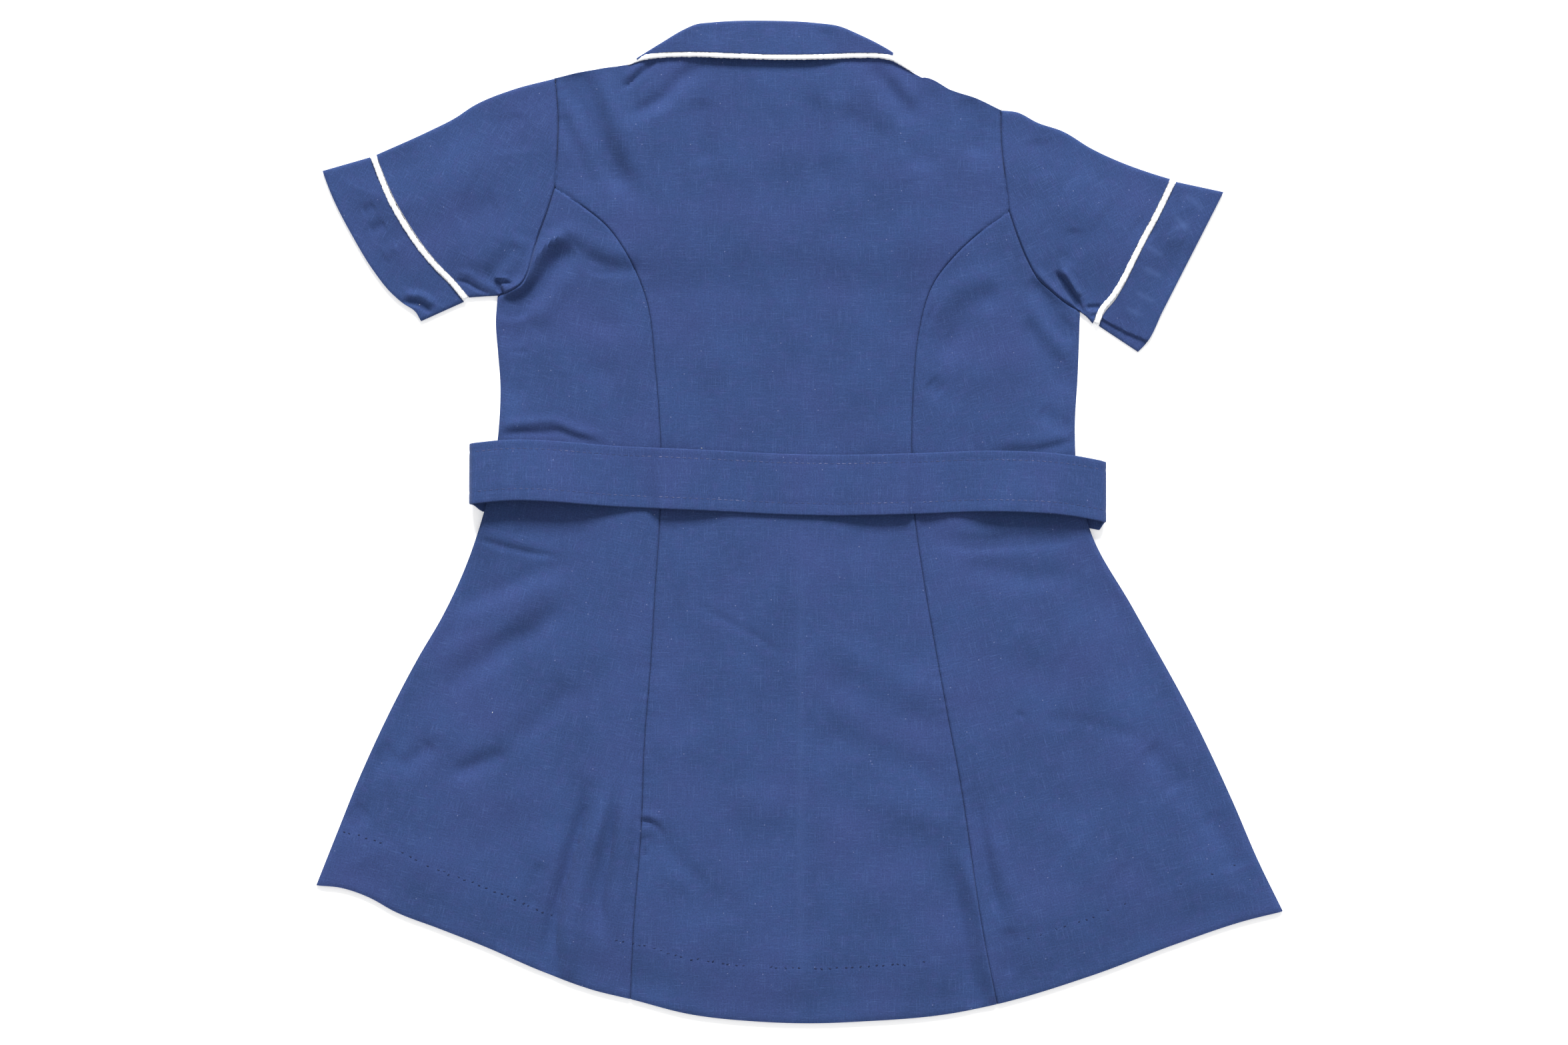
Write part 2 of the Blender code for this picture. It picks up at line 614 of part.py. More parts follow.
def cuff_piping(side):
    """A ring of piping between sleeve and cuff: a run on the ground and a run on top."""
    line = at_shares(smooth(CUFF_LINE[side]), np.linspace(0, 1, CUFF_PIPING_STATIONS))
    half = PIPING_HEIGHT / 2
    start = (line[1] - line[0]) / np.hypot(*(line[1] - line[0]))
    finish = (line[-2] - line[-1]) / np.hypot(*(line[-2] - line[-1]))
    low_level = half
    lowest_top = 3 * half + 2 * SEAM_GAP
    turn = (lowest_top - low_level) / 2
    line[0] += start * (turn + half)
    line[-1] += finish * (turn + half)
    top = np.maximum(upper(line[:, 0], line[:, 1]) + WALL - PIPING_SUNK, lowest_top)
    top[0] = lowest_top
    top[-1] = lowest_top
    path = [(x, y, z) for (x, y), z in zip(line, top)]
    path += turn_points(line[-1], -finish, turn, low_level + turn, 1)
    path += [(x, y, low_level) for x, y in line[::-1]]
    path += turn_points(line[0], -start, turn, low_level + turn, -1)
    whole = line[-1] - line[0]
    across = np.array([-whole[1], whole[0], 0]) / np.hypot(*whole)
    swept_piping("cuff_piping_" + side, path, across, closed=True)


def turn_points(point, way, radius, level, direction):
    """Gives the points between the two runs of a tight turn."""
    points = []
    for angle in np.radians(PIPING_TURN)[::direction]:
        x, y = point + way * radius * np.cos(angle)
        points.append((x, y, level + radius * np.sin(angle)))
    return points


def belt():
    """One strip: along the ground, round each side and over the back."""
    ground_z = BELT_WALL / 2
    back_z = BELT_WALL + 2 * SEAM_GAP + 2 * WALL + LAYER_GAP + SEAM_GAP + BELT_WALL / 2
    radius = (back_z - ground_z) / 2
    centre_x = at_heights(smooth(CENTRE_FRONT), [0.0])[0][0]
    left = BELT_MIDDLE[0][0] + radius + BELT_WALL / 2
    right = BELT_MIDDLE[-1][0] - radius - BELT_WALL / 2
    path = [(x, ground_z, 1.0) for x in np.linspace(centre_x + BELT_END_GAP, right, BELT_GROUND_STATIONS)]
    for angle in np.linspace(-90, 90, BELT_TURN_STEPS + 1)[1:-1]:
        path.append(belt_turn(right, radius, ground_z + radius, angle, 1))
    path += [(x, back_z, 0.0) for x in np.linspace(right, left, BELT_BACK_STATIONS)]
    for angle in np.linspace(90, -90, BELT_TURN_STEPS + 1)[1:-1]:
        path.append(belt_turn(left, radius, ground_z + radius, angle, -1))
    path += [(x, ground_z, 1.0) for x in np.linspace(left, centre_x - BELT_END_GAP, BELT_GROUND_STATIONS)]
    return belt_strip(np.array(path))


def belt_turn(x, radius, level, angle, way):
    """Gives a point of a round turn and its share of the front run's drop."""
    turn = np.radians(angle)
    return (x + way * radius * np.cos(turn), level + radius * np.sin(turn),
            0.5 - 0.5 * np.sin(turn))


def belt_strip(path):
    """Gives the strip its width and thickness along the path."""
    ahead = np.gradient(path[:, :2], axis=0)
    ahead /= np.hypot(*ahead.T)[:, None]
    rings = []
    for (x, z, drop), (dx, dz) in zip(path, ahead):
        middle = belt_middle(x) - drop * BELT_DROP
        ring = []
        for side, face in ((-1, -1), (1, -1), (1, 1), (-1, 1)):
            out = face * BELT_WALL / 2
            ring.append((x - dz * out, middle + side * BELT_WIDTH / 2, z + dx * out))
        rings.append(ring)
    return loft("belt", rings, NAVY_DARK)


def neck_level(x):
    """Gives the underside of the back along its neck edge."""
    edge = at_widths(smooth(BACK_TOP), np.atleast_1d(x))
    return upper(edge[:, 0], edge[:, 1] - NECK_EDGE)


def collar():
    """Stand and fall in one: up from the neck seam, over the roll line and down the back."""
    roll = smooth(ROLL_LINE)
    fall = smooth(FALL_EDGE)
    neck = smooth(BACK_TOP)
    places = np.linspace(COLLAR_ENDS[0], COLLAR_ENDS[1], COLLAR_STATIONS)
    rings = []
    for x in places:
        roll_y = np.interp(x, roll[:, 0], roll[:, 1]) - COLLAR_TURN - WALL / 2
        fall_y = np.interp(x, fall[:, 0], fall[:, 1]) + PIPING_SLOT
        neck_y = np.interp(x, neck[:, 0], neck[:, 1]) + SEAM_GAP + NECK_CLEARANCE
        base = neck_level(x)[0] + WALL / 2
        path = [(min(neck_y, roll_y - COLLAR_LEAST), base)]
        path += [((path[0][0] + roll_y) / 2, base)]
        for angle in np.radians([-90, -45, 0, 45, 90]):
            path.append((roll_y + COLLAR_TURN * np.cos(angle),
                         base + COLLAR_TURN * (1 + np.sin(angle))))
        path += [((fall_y + roll_y) / 2, base + 2 * COLLAR_TURN)]
        path += [(min(fall_y, roll_y - COLLAR_LEAST), base + 2 * COLLAR_TURN)]
        rings.append(wall_ring(x, np.array(path)))
    loft("collar", rings, NAVY)


def wall_ring(x, path):
    """Gives the outline of a wall that follows a path in the y and z plane."""
    ahead = np.gradient(path, axis=0)
    ahead /= np.hypot(*ahead.T)[:, None]
    normal = np.column_stack([-ahead[:, 1], ahead[:, 0]]) * WALL / 2
    ring = [(x, y, z) for y, z in path + normal]
    ring += [(x, y, z) for y, z in (path - normal)[::-1]]
    return ring


def collar_leaf(side):
    """One front end of the collar, on the ground under its front."""
    inner = at_shares(smooth(LEAF_INNER[side]), np.linspace(0, 1, LEAF_ROWS))
    outer = at_shares(smooth(LEAF_OUTER[side]), np.linspace(0, 1, LEAF_ROWS))
    away = 1 if side == "left" else -1
    outer = set_apart(outer, -away * PIPING_SLOT)
    share = np.linspace(0, 1, LEAF_COLUMNS)[:, None]
    low = inner[0] + share * (outer[0] - inner[0])
    high = inner[-1] + share * (outer[-1] - inner[-1])
    grid = patch(low, high, inner, outer)
    cloth_panel("collar_leaf_" + side, grid, lambda x, y: 0 * x)


def leaf_piping(side):
    """Piping along the edge of a collar leaf."""
    line = at_shares(smooth(LEAF_OUTER[side]), np.linspace(0, 1, LEAF_PIPING_STATIONS))
    flat = normals_of(line)
    flat /= np.hypot(*flat.T)[:, None]
    across = np.column_stack([flat, np.zeros(len(line))])
    path = [(x, y, PIPING_HEIGHT / 2) for x, y in line]
    swept_piping("collar_piping_" + side, path, across)


def collar_piping():
    """Piping along the fall at the back, bent down at the neck points."""
    line = at_shares(smooth(FALL_EDGE), np.linspace(*PIPING_ENDS, COLLAR_PIPING_STATIONS))
    level = upper(line[:, 0], line[:, 1]) + WALL + PIPING_CLEARANCE + PIPING_HEIGHT / 2
    path = [(x, y, z) for (x, y), z in zip(line, level)]
    swept_piping("collar_piping", path, np.array([0.0, 1.0, 0.0]))


def clear_scene():
    """Removes what the scene holds and adds the collection."""
    for item in list(bpy.data.objects):
        bpy.data.objects.remove(item, do_unlink=True)
    collection = bpy.data.collections.new("nurse_uniform_dress")
    bpy.context.scene.collection.children.link(collection)


def build():
    """Makes every piece of the dress."""
    clear_scene()
    back_centre()
    collar()
    collar_piping()
    for side in ("left", "right"):
        back_side(side)
        front(side)
        sleeve(side)
        cuff(side)
        cuff_piping(side)
        collar_leaf(side)
        leaf_piping(side)
    belt()


build()
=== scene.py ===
import math
import bpy
import bmesh
import numpy as np
from mathutils import Matrix, Vector


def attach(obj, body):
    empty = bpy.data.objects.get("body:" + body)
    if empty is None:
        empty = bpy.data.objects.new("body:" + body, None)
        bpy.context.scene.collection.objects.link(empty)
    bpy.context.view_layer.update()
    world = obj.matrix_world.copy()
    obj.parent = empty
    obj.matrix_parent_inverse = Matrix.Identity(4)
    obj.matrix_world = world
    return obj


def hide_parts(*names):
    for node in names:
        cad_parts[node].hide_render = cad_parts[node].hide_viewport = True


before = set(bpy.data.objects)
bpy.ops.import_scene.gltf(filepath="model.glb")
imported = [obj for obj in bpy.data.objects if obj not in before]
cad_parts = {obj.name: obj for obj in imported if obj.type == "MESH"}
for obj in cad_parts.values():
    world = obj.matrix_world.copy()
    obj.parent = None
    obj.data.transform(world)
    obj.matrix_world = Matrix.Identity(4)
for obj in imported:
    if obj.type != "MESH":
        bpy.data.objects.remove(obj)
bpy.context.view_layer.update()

mm = 0.001

# A child's nurse uniform dress lying on its front. Tables are in millimetres, x to the right
# and y towards the collar. Left and right are as seen from above.

clothValues = {
    "wall": 0.85,            # thickness of the cloth that shows
    "solidWall": 1.2,        # thickness of the solids' walls
    "layerGap": 0.5,
    "puff": 2.5,             # how far the back stands off the fronts in the middle
    "puffReach": 40.0,
    "edgeReach": 20.0,
    "seamGap": 0.1,
    "clear": 0.08,           # least air between the layers in a trough
    "deepest": -1.1,         # a trough stops just above the layer below
}
outlineTables = {
    "hem": [
        (-269.9, -203.2), (-256.4, -204.5), (-240.6, -209.8), (-226.2, -217.7),
        (-201.3, -227.3), (-176.8, -236.9), (-143.5, -251.3), (-114.6, -261.8),
        (-94.5, -266.7), (-62.1, -275.0), (-22.8, -279.3), (10.1, -280.2), (32.8, -279.3),
        (86.2, -274.5), (110.3, -269.5), (163.2, -253.5), (210.0, -236.0), (248.9, -222.9),
        (269.9, -217.7)],
    "centreFront": [(0.0, -280.1), (-3.0, -140.0), (-7.0, 20.0), (-11.0, 120.0),
                    (-14.0, 211.0)],
    "backTop": [
        (-136.5, 247.4), (-125.6, 250.0), (-100.0, 254.0), (-92.5, 255.4), (-84.0, 260.5),
        (-60.0, 263.5), (-15.0, 264.0), (24.0, 263.5), (45.0, 260.0), (56.0, 254.5),
        (66.0, 248.6), (87.5, 239.5), (97.6, 236.5), (112.4, 229.6)],
    "rollLine": [(-93.2, 257.6), (-77.3, 267.5), (-63.8, 275.4), (-57.5, 278.0), (-50.0, 278.9),
                 (-15.9, 279.9), (8.0, 278.8), (23.1, 276.6), (30.6, 273.5), (54.1, 260.9),
                 (60.0, 256.5)],
    "fallEdge": [(-96.4, 255.2), (-92.5, 257.2), (-88.5, 258.9), (-77.3, 260.8), (-64.9, 261.2),
                 (-40.1, 260.2), (-9.1, 259.3), (13.1, 259.7), (32.4, 260.7), (46.0, 260.3),
                 (52.0, 259.0), (56.0, 256.8), (60.8, 253.4), (64.8, 251.4)],
}
# Seams and sides run from the hem up, sleeve lines from the underarm edge to the shoulder.
sideTables = {
    "left": {
        "sideSeam": [(-269.9, -203.2), (-258.1, -173.5), (-247.2, -146.3), (-213.1, -76.3),
                     (-199.1, -52.3), (-180.3, -8.5), (-172.5, 20.0), (-168.4, 46.2),
                     (-167.1, 77.7), (-168.4, 94.3), (-169.6, 112.0), (-168.6, 126.0)],
        "princess": [(-94.5, -266.7), (-92.8, -229.5), (-88.4, -172.6), (-86.6, -124.5),
                     (-83.1, -80.7), (-80.5, -37.0), (-77.9, 2.4), (-77.4, 39.6),
                     (-80.5, 85.5), (-85.8, 124.9), (-96.3, 149.0), (-107.2, 164.3),
                     (-120.3, 175.2), (-136.5, 186.2)],
        "armholeLow": [(-168.6, 126.0), (-160.2, 129.0), (-154.6, 132.8), (-152.1, 137.2),
                       (-148.9, 148.5), (-145.3, 160.2), (-142.0, 169.0), (-136.5, 186.2)],
        "armholeHigh": [(-136.5, 186.2), (-135.2, 203.7), (-134.8, 225.5), (-136.5, 247.4)],
        "frontTop": [(-136.5, 247.4), (-125.6, 250.0), (-100.0, 254.0), (-92.5, 254.0),
                     (-86.0, 241.0), (-74.0, 227.0), (-50.0, 216.0), (-14.0, 211.0)],
        "cuffLine": [(-185.9, 123.8), (-193.7, 133.2), (-202.0, 141.6), (-211.4, 153.0),
                     (-219.8, 165.5), (-227.6, 179.1), (-233.3, 191.7), (-238.1, 204.1)],
        "cuffHem": [(-211.3, 111.8), (-214.4, 117.0), (-221.4, 121.8), (-227.9, 127.5),
                    (-238.0, 140.2), (-249.4, 159.0), (-261.6, 183.1), (-266.4, 195.8)],
        "sleeveTop": [(-136.5, 247.4), (-160.0, 241.2), (-182.4, 232.1), (-193.8, 224.7),
                      (-207.8, 217.7), (-238.1, 204.1)],
        "sleeveBottom": [(-168.6, 126.0), (-177.0, 125.0), (-185.9, 123.8)],
        "leafInner": [(-16.0, 207.0), (-50.0, 212.0), (-74.0, 223.0), (-84.5, 238.0),
                      (-89.5, 250.0)],
        "leafOuter": [(-16.0, 202.0), (-30.0, 172.0), (-68.0, 192.0), (-88.0, 222.0),
                      (-93.5, 251.0)],
        "handWay": 1,        # the hand's side of a cuff line is its left
    },
    "right": {
        "sideSeam": [(269.9, -217.7), (256.4, -190.1), (241.9, -156.4), (221.8, -113.5),
                     (185.9, -47.9), (162.5, -6.0), (155.4, 22.0), (153.6, 50.0),
                     (155.3, 81.2), (156.6, 117.0)],
        "princess": [(110.3, -269.5), (101.5, -225.1), (96.3, -190.1), (89.7, -146.3),
                     (83.1, -111.3), (74.4, -63.2), (67.8, -23.8), (64.3, 2.4), (62.6, 38.3),
                     (63.9, 81.2), (66.1, 103.0), (75.7, 134.5), (85.3, 146.8),
                     (100.6, 161.2), (116.8, 173.0)],
        "armholeLow": [(156.6, 117.0), (146.9, 123.1), (140.0, 128.8), (133.1, 135.2),
                       (127.5, 144.6), (121.9, 157.7), (116.8, 173.0)],
        "armholeHigh": [(116.8, 173.0), (114.2, 194.9), (112.9, 208.0), (112.4, 229.6)],
        "frontTop": [(112.4, 229.6), (97.6, 236.5), (87.5, 239.5), (66.0, 247.0),
                     (58.0, 234.0), (47.0, 223.0), (22.0, 214.0), (-14.0, 211.0)],
        "cuffLine": [(165.4, 109.8), (167.6, 115.7), (174.4, 124.4), (180.2, 134.1),
                     (186.0, 145.8), (191.9, 157.5), (197.7, 168.2), (203.6, 179.9),
                     (208.6, 190.5)],
        "cuffHem": [(189.0, 94.7), (192.9, 98.7), (203.0, 118.0), (214.5, 140.5),
                    (225.5, 162.0), (236.7, 184.0)],
        "sleeveTop": [(112.4, 229.6), (121.2, 228.6), (133.4, 222.5), (147.4, 217.7),
                      (163.6, 208.0), (201.3, 192.7), (208.6, 190.5)],
        "sleeveBottom": [(156.6, 117.0), (161.0, 114.0), (165.4, 109.8)],
        "leafInner": [(-12.0, 207.0), (22.0, 210.0), (47.0, 219.0), (56.5, 232.0),
                      (61.5, 246.0)],
        "leafOuter": [(-12.0, 202.0), (4.0, 170.0), (41.0, 188.0), (60.0, 216.0),
                      (66.5, 246.0)],
        "handWay": -1,
    },
}


# Lines and distances

def smoothLine(table, steps=12):
    # a line through a table's points, rounded at each of them
    points = np.array(table, float)
    runs = np.diff(points, axis=0)
    sizes = np.hypot(*runs.T)[:, None]
    ways = runs / sizes
    turns = ways[:-1] / sizes[:-1] + ways[1:] / sizes[1:]
    turns /= np.hypot(*turns.T)[:, None]
    turns = np.vstack([ways[:1], turns, ways[-1:]])
    t = (np.arange(steps) / steps)[:, None]
    line = []
    for i, size in enumerate(sizes):
        line.append((2 * t**3 - 3 * t**2 + 1) * points[i] + (t**3 - 2 * t**2 + t) * size * turns[i]
                    + (3 * t**2 - 2 * t**3) * points[i + 1] + (t**3 - t**2) * size * turns[i + 1])
    return np.vstack(line + [points[-1:]])


def lengthsAlong(line):
    return np.concatenate([[0.0], np.cumsum(np.hypot(*np.diff(line, axis=0).T))])


def atShares(line, shares):
    along = lengthsAlong(line)
    where = np.asarray(shares) * along[-1]
    return np.column_stack([np.interp(where, along, line[:, i]) for i in range(2)])


def atHeights(line, heights):
    return np.column_stack([np.interp(heights, line[:, 1], line[:, 0]), heights])


def atWidths(line, places):
    order = np.argsort(line[:, 0])
    return np.column_stack([places, np.interp(places, line[order, 0], line[order, 1])])


def leftOf(line):
    # unit vectors that point to a line's left
    ahead = np.gradient(line, axis=0)
    ahead /= np.hypot(*ahead.T)[:, None]
    return np.column_stack([-ahead[:, 1], ahead[:, 0]])


def fade(value, low, high):
    t = np.clip((value - low) / (high - low), 0, 1)
    return t * t * (3 - 2 * t)


def nearTo(x, y, path):
    # distance to a path, and how far along it the nearest point lies
    path = np.asarray(path, float)
    starts = lengthsAlong(path)
    best = np.full(np.shape(x), 1e9)
    along = np.zeros(np.shape(x))
    for (x0, y0), (x1, y1), start, end in zip(path, path[1:], starts, starts[1:]):
        run = end - start + 1e-9
        share = np.clip(((x - x0) * (x1 - x0) + (y - y0) * (y1 - y0)) / run**2, 0, 1)
        away = np.hypot(x - x0 - share * (x1 - x0), y - y0 - share * (y1 - y0))
        closer = away < best
        best = np.where(closer, away, best)
        along = np.where(closer, start + share * run, along)
    return best, along


def swells(x, y, size, seed, waves=7):
    # soft uneven swells between about -1 and 1
    chance = np.random.default_rng(seed)
    total = 0
    for turn, wave, shift in chance.uniform((0, 0.65, 0), (np.pi, 1.6, 2 * np.pi), (waves, 3)):
        total = total + np.sin((x * np.cos(turn) + y * np.sin(turn)) * 2 * np.pi / wave / size
                               + shift)
    return total / math.sqrt(waves)


def creased(x, y, creases):
    # the height that a list of creases gives each point
    relief = np.zeros(np.shape(x))
    for path, width, height in creases:
        path = smoothLine(path, 5)
        reach = width * 3
        near = ((x > path[:, 0].min() - reach) & (x < path[:, 0].max() + reach)
                & (y > path[:, 1].min() - reach) & (y < path[:, 1].max() + reach))
        if near.any():
            away, along = nearTo(x[near], y[near], path)
            share = along / lengthsAlong(path)[-1]
            taper = fade(share, -0.1, 0.2) * fade(-share, -1.1, -0.8)
            relief[near] += height * taper * np.exp(-(away / width) ** 2)
    return relief


# Levels of the layers, as in the solids

beltValues = {
    "middle": [(-184.0, 26.4), (-168.0, 28.1), (-98.0, 24.9), (-50.0, 22.8), (-7.3, 20.7),
               (17.0, 20.2), (63.0, 21.0), (110.0, 22.4), (153.0, 19.7), (171.0, 16.4)],
    "width": 34.0, "wall": 1.6, "drop": 5.0, "endGap": 0.6,
    "under": 0.3,            # air between the belt and the cloth on it
    "margin": 7.0, "ramp": 34.0, "calm": 34.0,
}
leafValues = {"lift": 2.6, "fade": 30.0, "left": -99.0, "right": 73.0, "low": 162.0,
              "spread": 6.0}

beltLine = smoothLine(beltValues["middle"])
hemLine = smoothLine(outlineTables["hem"])


def resampled(line, pitch, first=0.0):
    # points and directions along a line in space, a pitch apart
    along = np.concatenate([[0.0], np.cumsum(np.linalg.norm(np.diff(line, axis=0), axis=1))])
    where = np.arange(first, along[-1], pitch)
    spots = [np.column_stack([np.interp(where + shift, along, line[:, i]) for i in range(3)])
             for shift in (-0.4, 0.4)]
    ways = spots[1] - spots[0]
    return (spots[0] + spots[1]) / 2, ways / np.linalg.norm(ways, axis=1)[:, None]


def beltMiddle(x):
    return np.interp(x, beltLine[:, 0], beltLine[:, 1])


def beltEdges(x, margin):
    middle = beltMiddle(x)
    half = beltValues["width"] / 2 + margin
    return middle - half - beltValues["drop"], middle + half


def beltLift(x, y):
    low, high = beltEdges(x, beltValues["margin"])
    ramp = beltValues["ramp"]
    rise = np.minimum(fade(y, low - ramp, low), fade(-y, -high - ramp, -high))
    return (beltValues["wall"] + beltValues["under"]) * rise


def leafLift(x, y, spread=0.0):
    reach = leafValues["fade"]
    left, right = leafValues["left"] - spread, leafValues["right"] + spread
    low = leafValues["low"] - spread
    across = fade(x, left - reach, left) * fade(-x, -right - reach, -right)
    return leafValues["lift"] * across * fade(y, low - reach, low)


def wholeOutline():
    left, right = sideTables["left"], sideTables["right"]
    loop = left["sideSeam"] + left["sleeveBottom"] + left["cuffHem"] + left["sleeveTop"][::-1]
    loop = loop + outlineTables["rollLine"] + right["sleeveTop"] + right["cuffHem"][::-1]
    loop = loop + right["sleeveBottom"][::-1] + right["sideSeam"][::-1]
    return loop + outlineTables["hem"][::-1]


outline = wholeOutline()


def backLevel(x, y, creases, swell=0.22):
    # top of the back layer
    away, along = nearTo(x, y, outline)
    low, high = beltEdges(x, beltValues["margin"])
    calm = np.maximum(fade(-y, -low, beltValues["calm"] - low),
                      fade(y, high, high + beltValues["calm"]))
    edge = fade(away, 0, clothValues["edgeReach"])
    puff = clothValues["puff"] * calm * edge * fade(away, 0, clothValues["puffReach"])
    low, high = beltEdges(x, -2.0)
    clear = np.maximum(fade(-y, -low - 3, 7 - low), fade(y, high - 3, high + 7))
    relief = creased(x, y, creases) + swell * swells(x, y, 46.0, 3)
    relief = relief + 0.35 * swell * swells(x, y, 17.0, 4)
    floor = clothValues["deepest"]
    relief = puff + relief * clear * fade(away, -2, 6)
    relief = floor + 0.3 * np.logaddexp(0, (relief - floor) / 0.3)
    base = 2 * clothValues["solidWall"] + clothValues["layerGap"]
    return beltLift(x, y) + leafLift(x, y, leafValues["spread"]) + base + relief


def frontLevel(x, y, creases):
    # top of the front layer, which lies on the ground, so creases lift it off
    relief = np.maximum(creased(x, y, creases), 0)
    return beltLift(x, y) + leafLift(x, y) + clothValues["wall"] + relief


# Meshes

def keep(name, mesh, angle=40):
    piece = bpy.data.objects.new(name, mesh)
    bpy.context.scene.collection.objects.link(piece)
    bpy.ops.object.select_all(action="DESELECT")
    piece.select_set(True)
    bpy.context.view_layer.objects.active = piece
    bpy.ops.object.shade_smooth_by_angle(angle=math.radians(angle))
    return piece


def grainMap(mesh, turn):
    # a UV map in metres whose V runs along the cloth's grain
    layer = mesh.uv_layers.new(name="grain")
    places = np.empty(len(mesh.vertices) * 3)
    mesh.vertices.foreach_get("co", places)
    corners = np.empty(len(mesh.loops), int)
    mesh.loops.foreach_get("vertex_index", corners)
    places = places.reshape(-1, 3)[corners]
    c, s = math.cos(math.radians(turn)), math.sin(math.radians(turn))
    flat = np.column_stack([places[:, 0] * c + places[:, 1] * s,
                            -places[:, 0] * s + places[:, 1] * c])
    layer.data.foreach_set("uv", flat.ravel())


pressShineHighlights = [
    # pressing shine, painted into the colour as a lighter highlight: path, half width, strength
    ([(214.5, 182), (219, 179.5), (225, 173.5)], 1.7, 0.26), ([(209, 171), (217, 162)], 1.6, 0.34),
    ([(208.5, 163), (218.5, 167)], 1.5, 0.24), ([(193.5, 154), (198, 151), (203, 147.5)], 1.4, 0.28),
    ([(192, 141.5), (197, 139), (202, 136.5)], 1.7, 0.34), ([(188, 128), (198, 122.5)], 1.5, 0.28),
    ([(181.5, 119.5), (190.5, 115)], 1.3, 0.26), ([(0.2, -12), (0.4, -274)], 2.4, 0.1),
]


# stores the painted pressing-shine highlight as a point attribute that lightens the colour
def addPaintedShine(piece):
    mesh = piece.data
    places = np.empty(len(mesh.vertices) * 3)
    mesh.vertices.foreach_get("co", places)
    places = places.reshape(-1, 3) / mm
    paintedShine = creased(places[:, 0], places[:, 1], pressShineHighlights) * (places[:, 2] > 2)
    mesh.attributes.new("paintedShine", "FLOAT", "POINT").data.foreach_set("value", paintedShine)


def meshOf(name, points, faces):
    mesh = bpy.data.meshes.new(name)
    mesh.from_pydata((np.asarray(points) * mm).tolist(), [], np.asarray(faces).tolist())
    mesh.update()
    return mesh


def gridFaces(rows, columns, closed=False):
    # faces between rows of points, closed where the last column meets the first
    across = np.arange(columns if closed else columns - 1)
    up = np.arange(rows - 1)[:, None] * columns
    a, b = up + across, up + (across + 1) % columns
    return np.stack([a, b, b + columns, a + columns], axis=-1).reshape(-1, 4)


def addSheet(name, grid, top, wall, turn=0.0, round=0.22):
    # a sheet of cloth whose upper face passes through a grid of points
    rows, columns = top.shape
    points = np.dstack([grid, top]).reshape(-1, 3)
    mesh = meshOf(name, points, gridFaces(rows, columns))
    grainMap(mesh, turn)
    piece = keep(name, mesh)
    solid = piece.modifiers.new("wall", "SOLIDIFY")
    solid.thickness = wall * mm
    solid.offset = -1
    edge = piece.modifiers.new("edge", "BEVEL")
    edge.width = round * mm
    edge.segments = 2
    edge.limit_method = "ANGLE"
    edge.angle_limit = math.radians(60)
    for modifier in list(piece.modifiers):
        bpy.ops.object.modifier_apply(modifier=modifier.name)
    bpy.ops.object.shade_smooth_by_angle(angle=math.radians(40))
    return piece


def patch(low, high, left, right, lowReach=0.55, highReach=0.4):
    # fills four lines that share their corners with rows of points
    share = np.linspace(0, 1, len(left))[:, None, None]
    lowWeight = np.clip(1 - share / lowReach, 0, 1)
    highWeight = np.clip(1 - (1 - share) / highReach, 0, 1)
    along = lengthsAlong(low) / lengthsAlong(low)[-1]
    u = along[None, :, None]
    lowBulge = low[None] - ((1 - u) * low[0] + u * low[-1])
    highBulge = high[None] - ((1 - u) * high[0] + u * high[-1])
    straight = (1 - u) * left[:, None] + u * right[:, None]
    return straight + lowWeight * lowBulge + highWeight * highBulge


def spread(length, step, ends=(0.0, 0.4, 0.9, 1.6)):
    # shares from 0 to 1, about a step apart and closer at both ends
    ends = np.array(ends) / length
    inner = np.linspace(ends[-1], 1 - ends[-1], max(int(length / step), 4))
    return np.concatenate([ends[:-1], inner, 1 - ends[:-1][::-1]])


def drawnIn(grid, gap):
    # moves a grid's left and right columns inwards by half the seam gap
    width = np.linalg.norm(grid[:, -1] - grid[:, 0], axis=1)[:, None, None]
    u = np.linspace(0, 1, grid.shape[1])[None, :, None]
    middle = (grid[:, :1] + grid[:, -1:]) / 2
    shrink = 1 - gap / width
    return middle + (grid - middle) * shrink + 0 * u
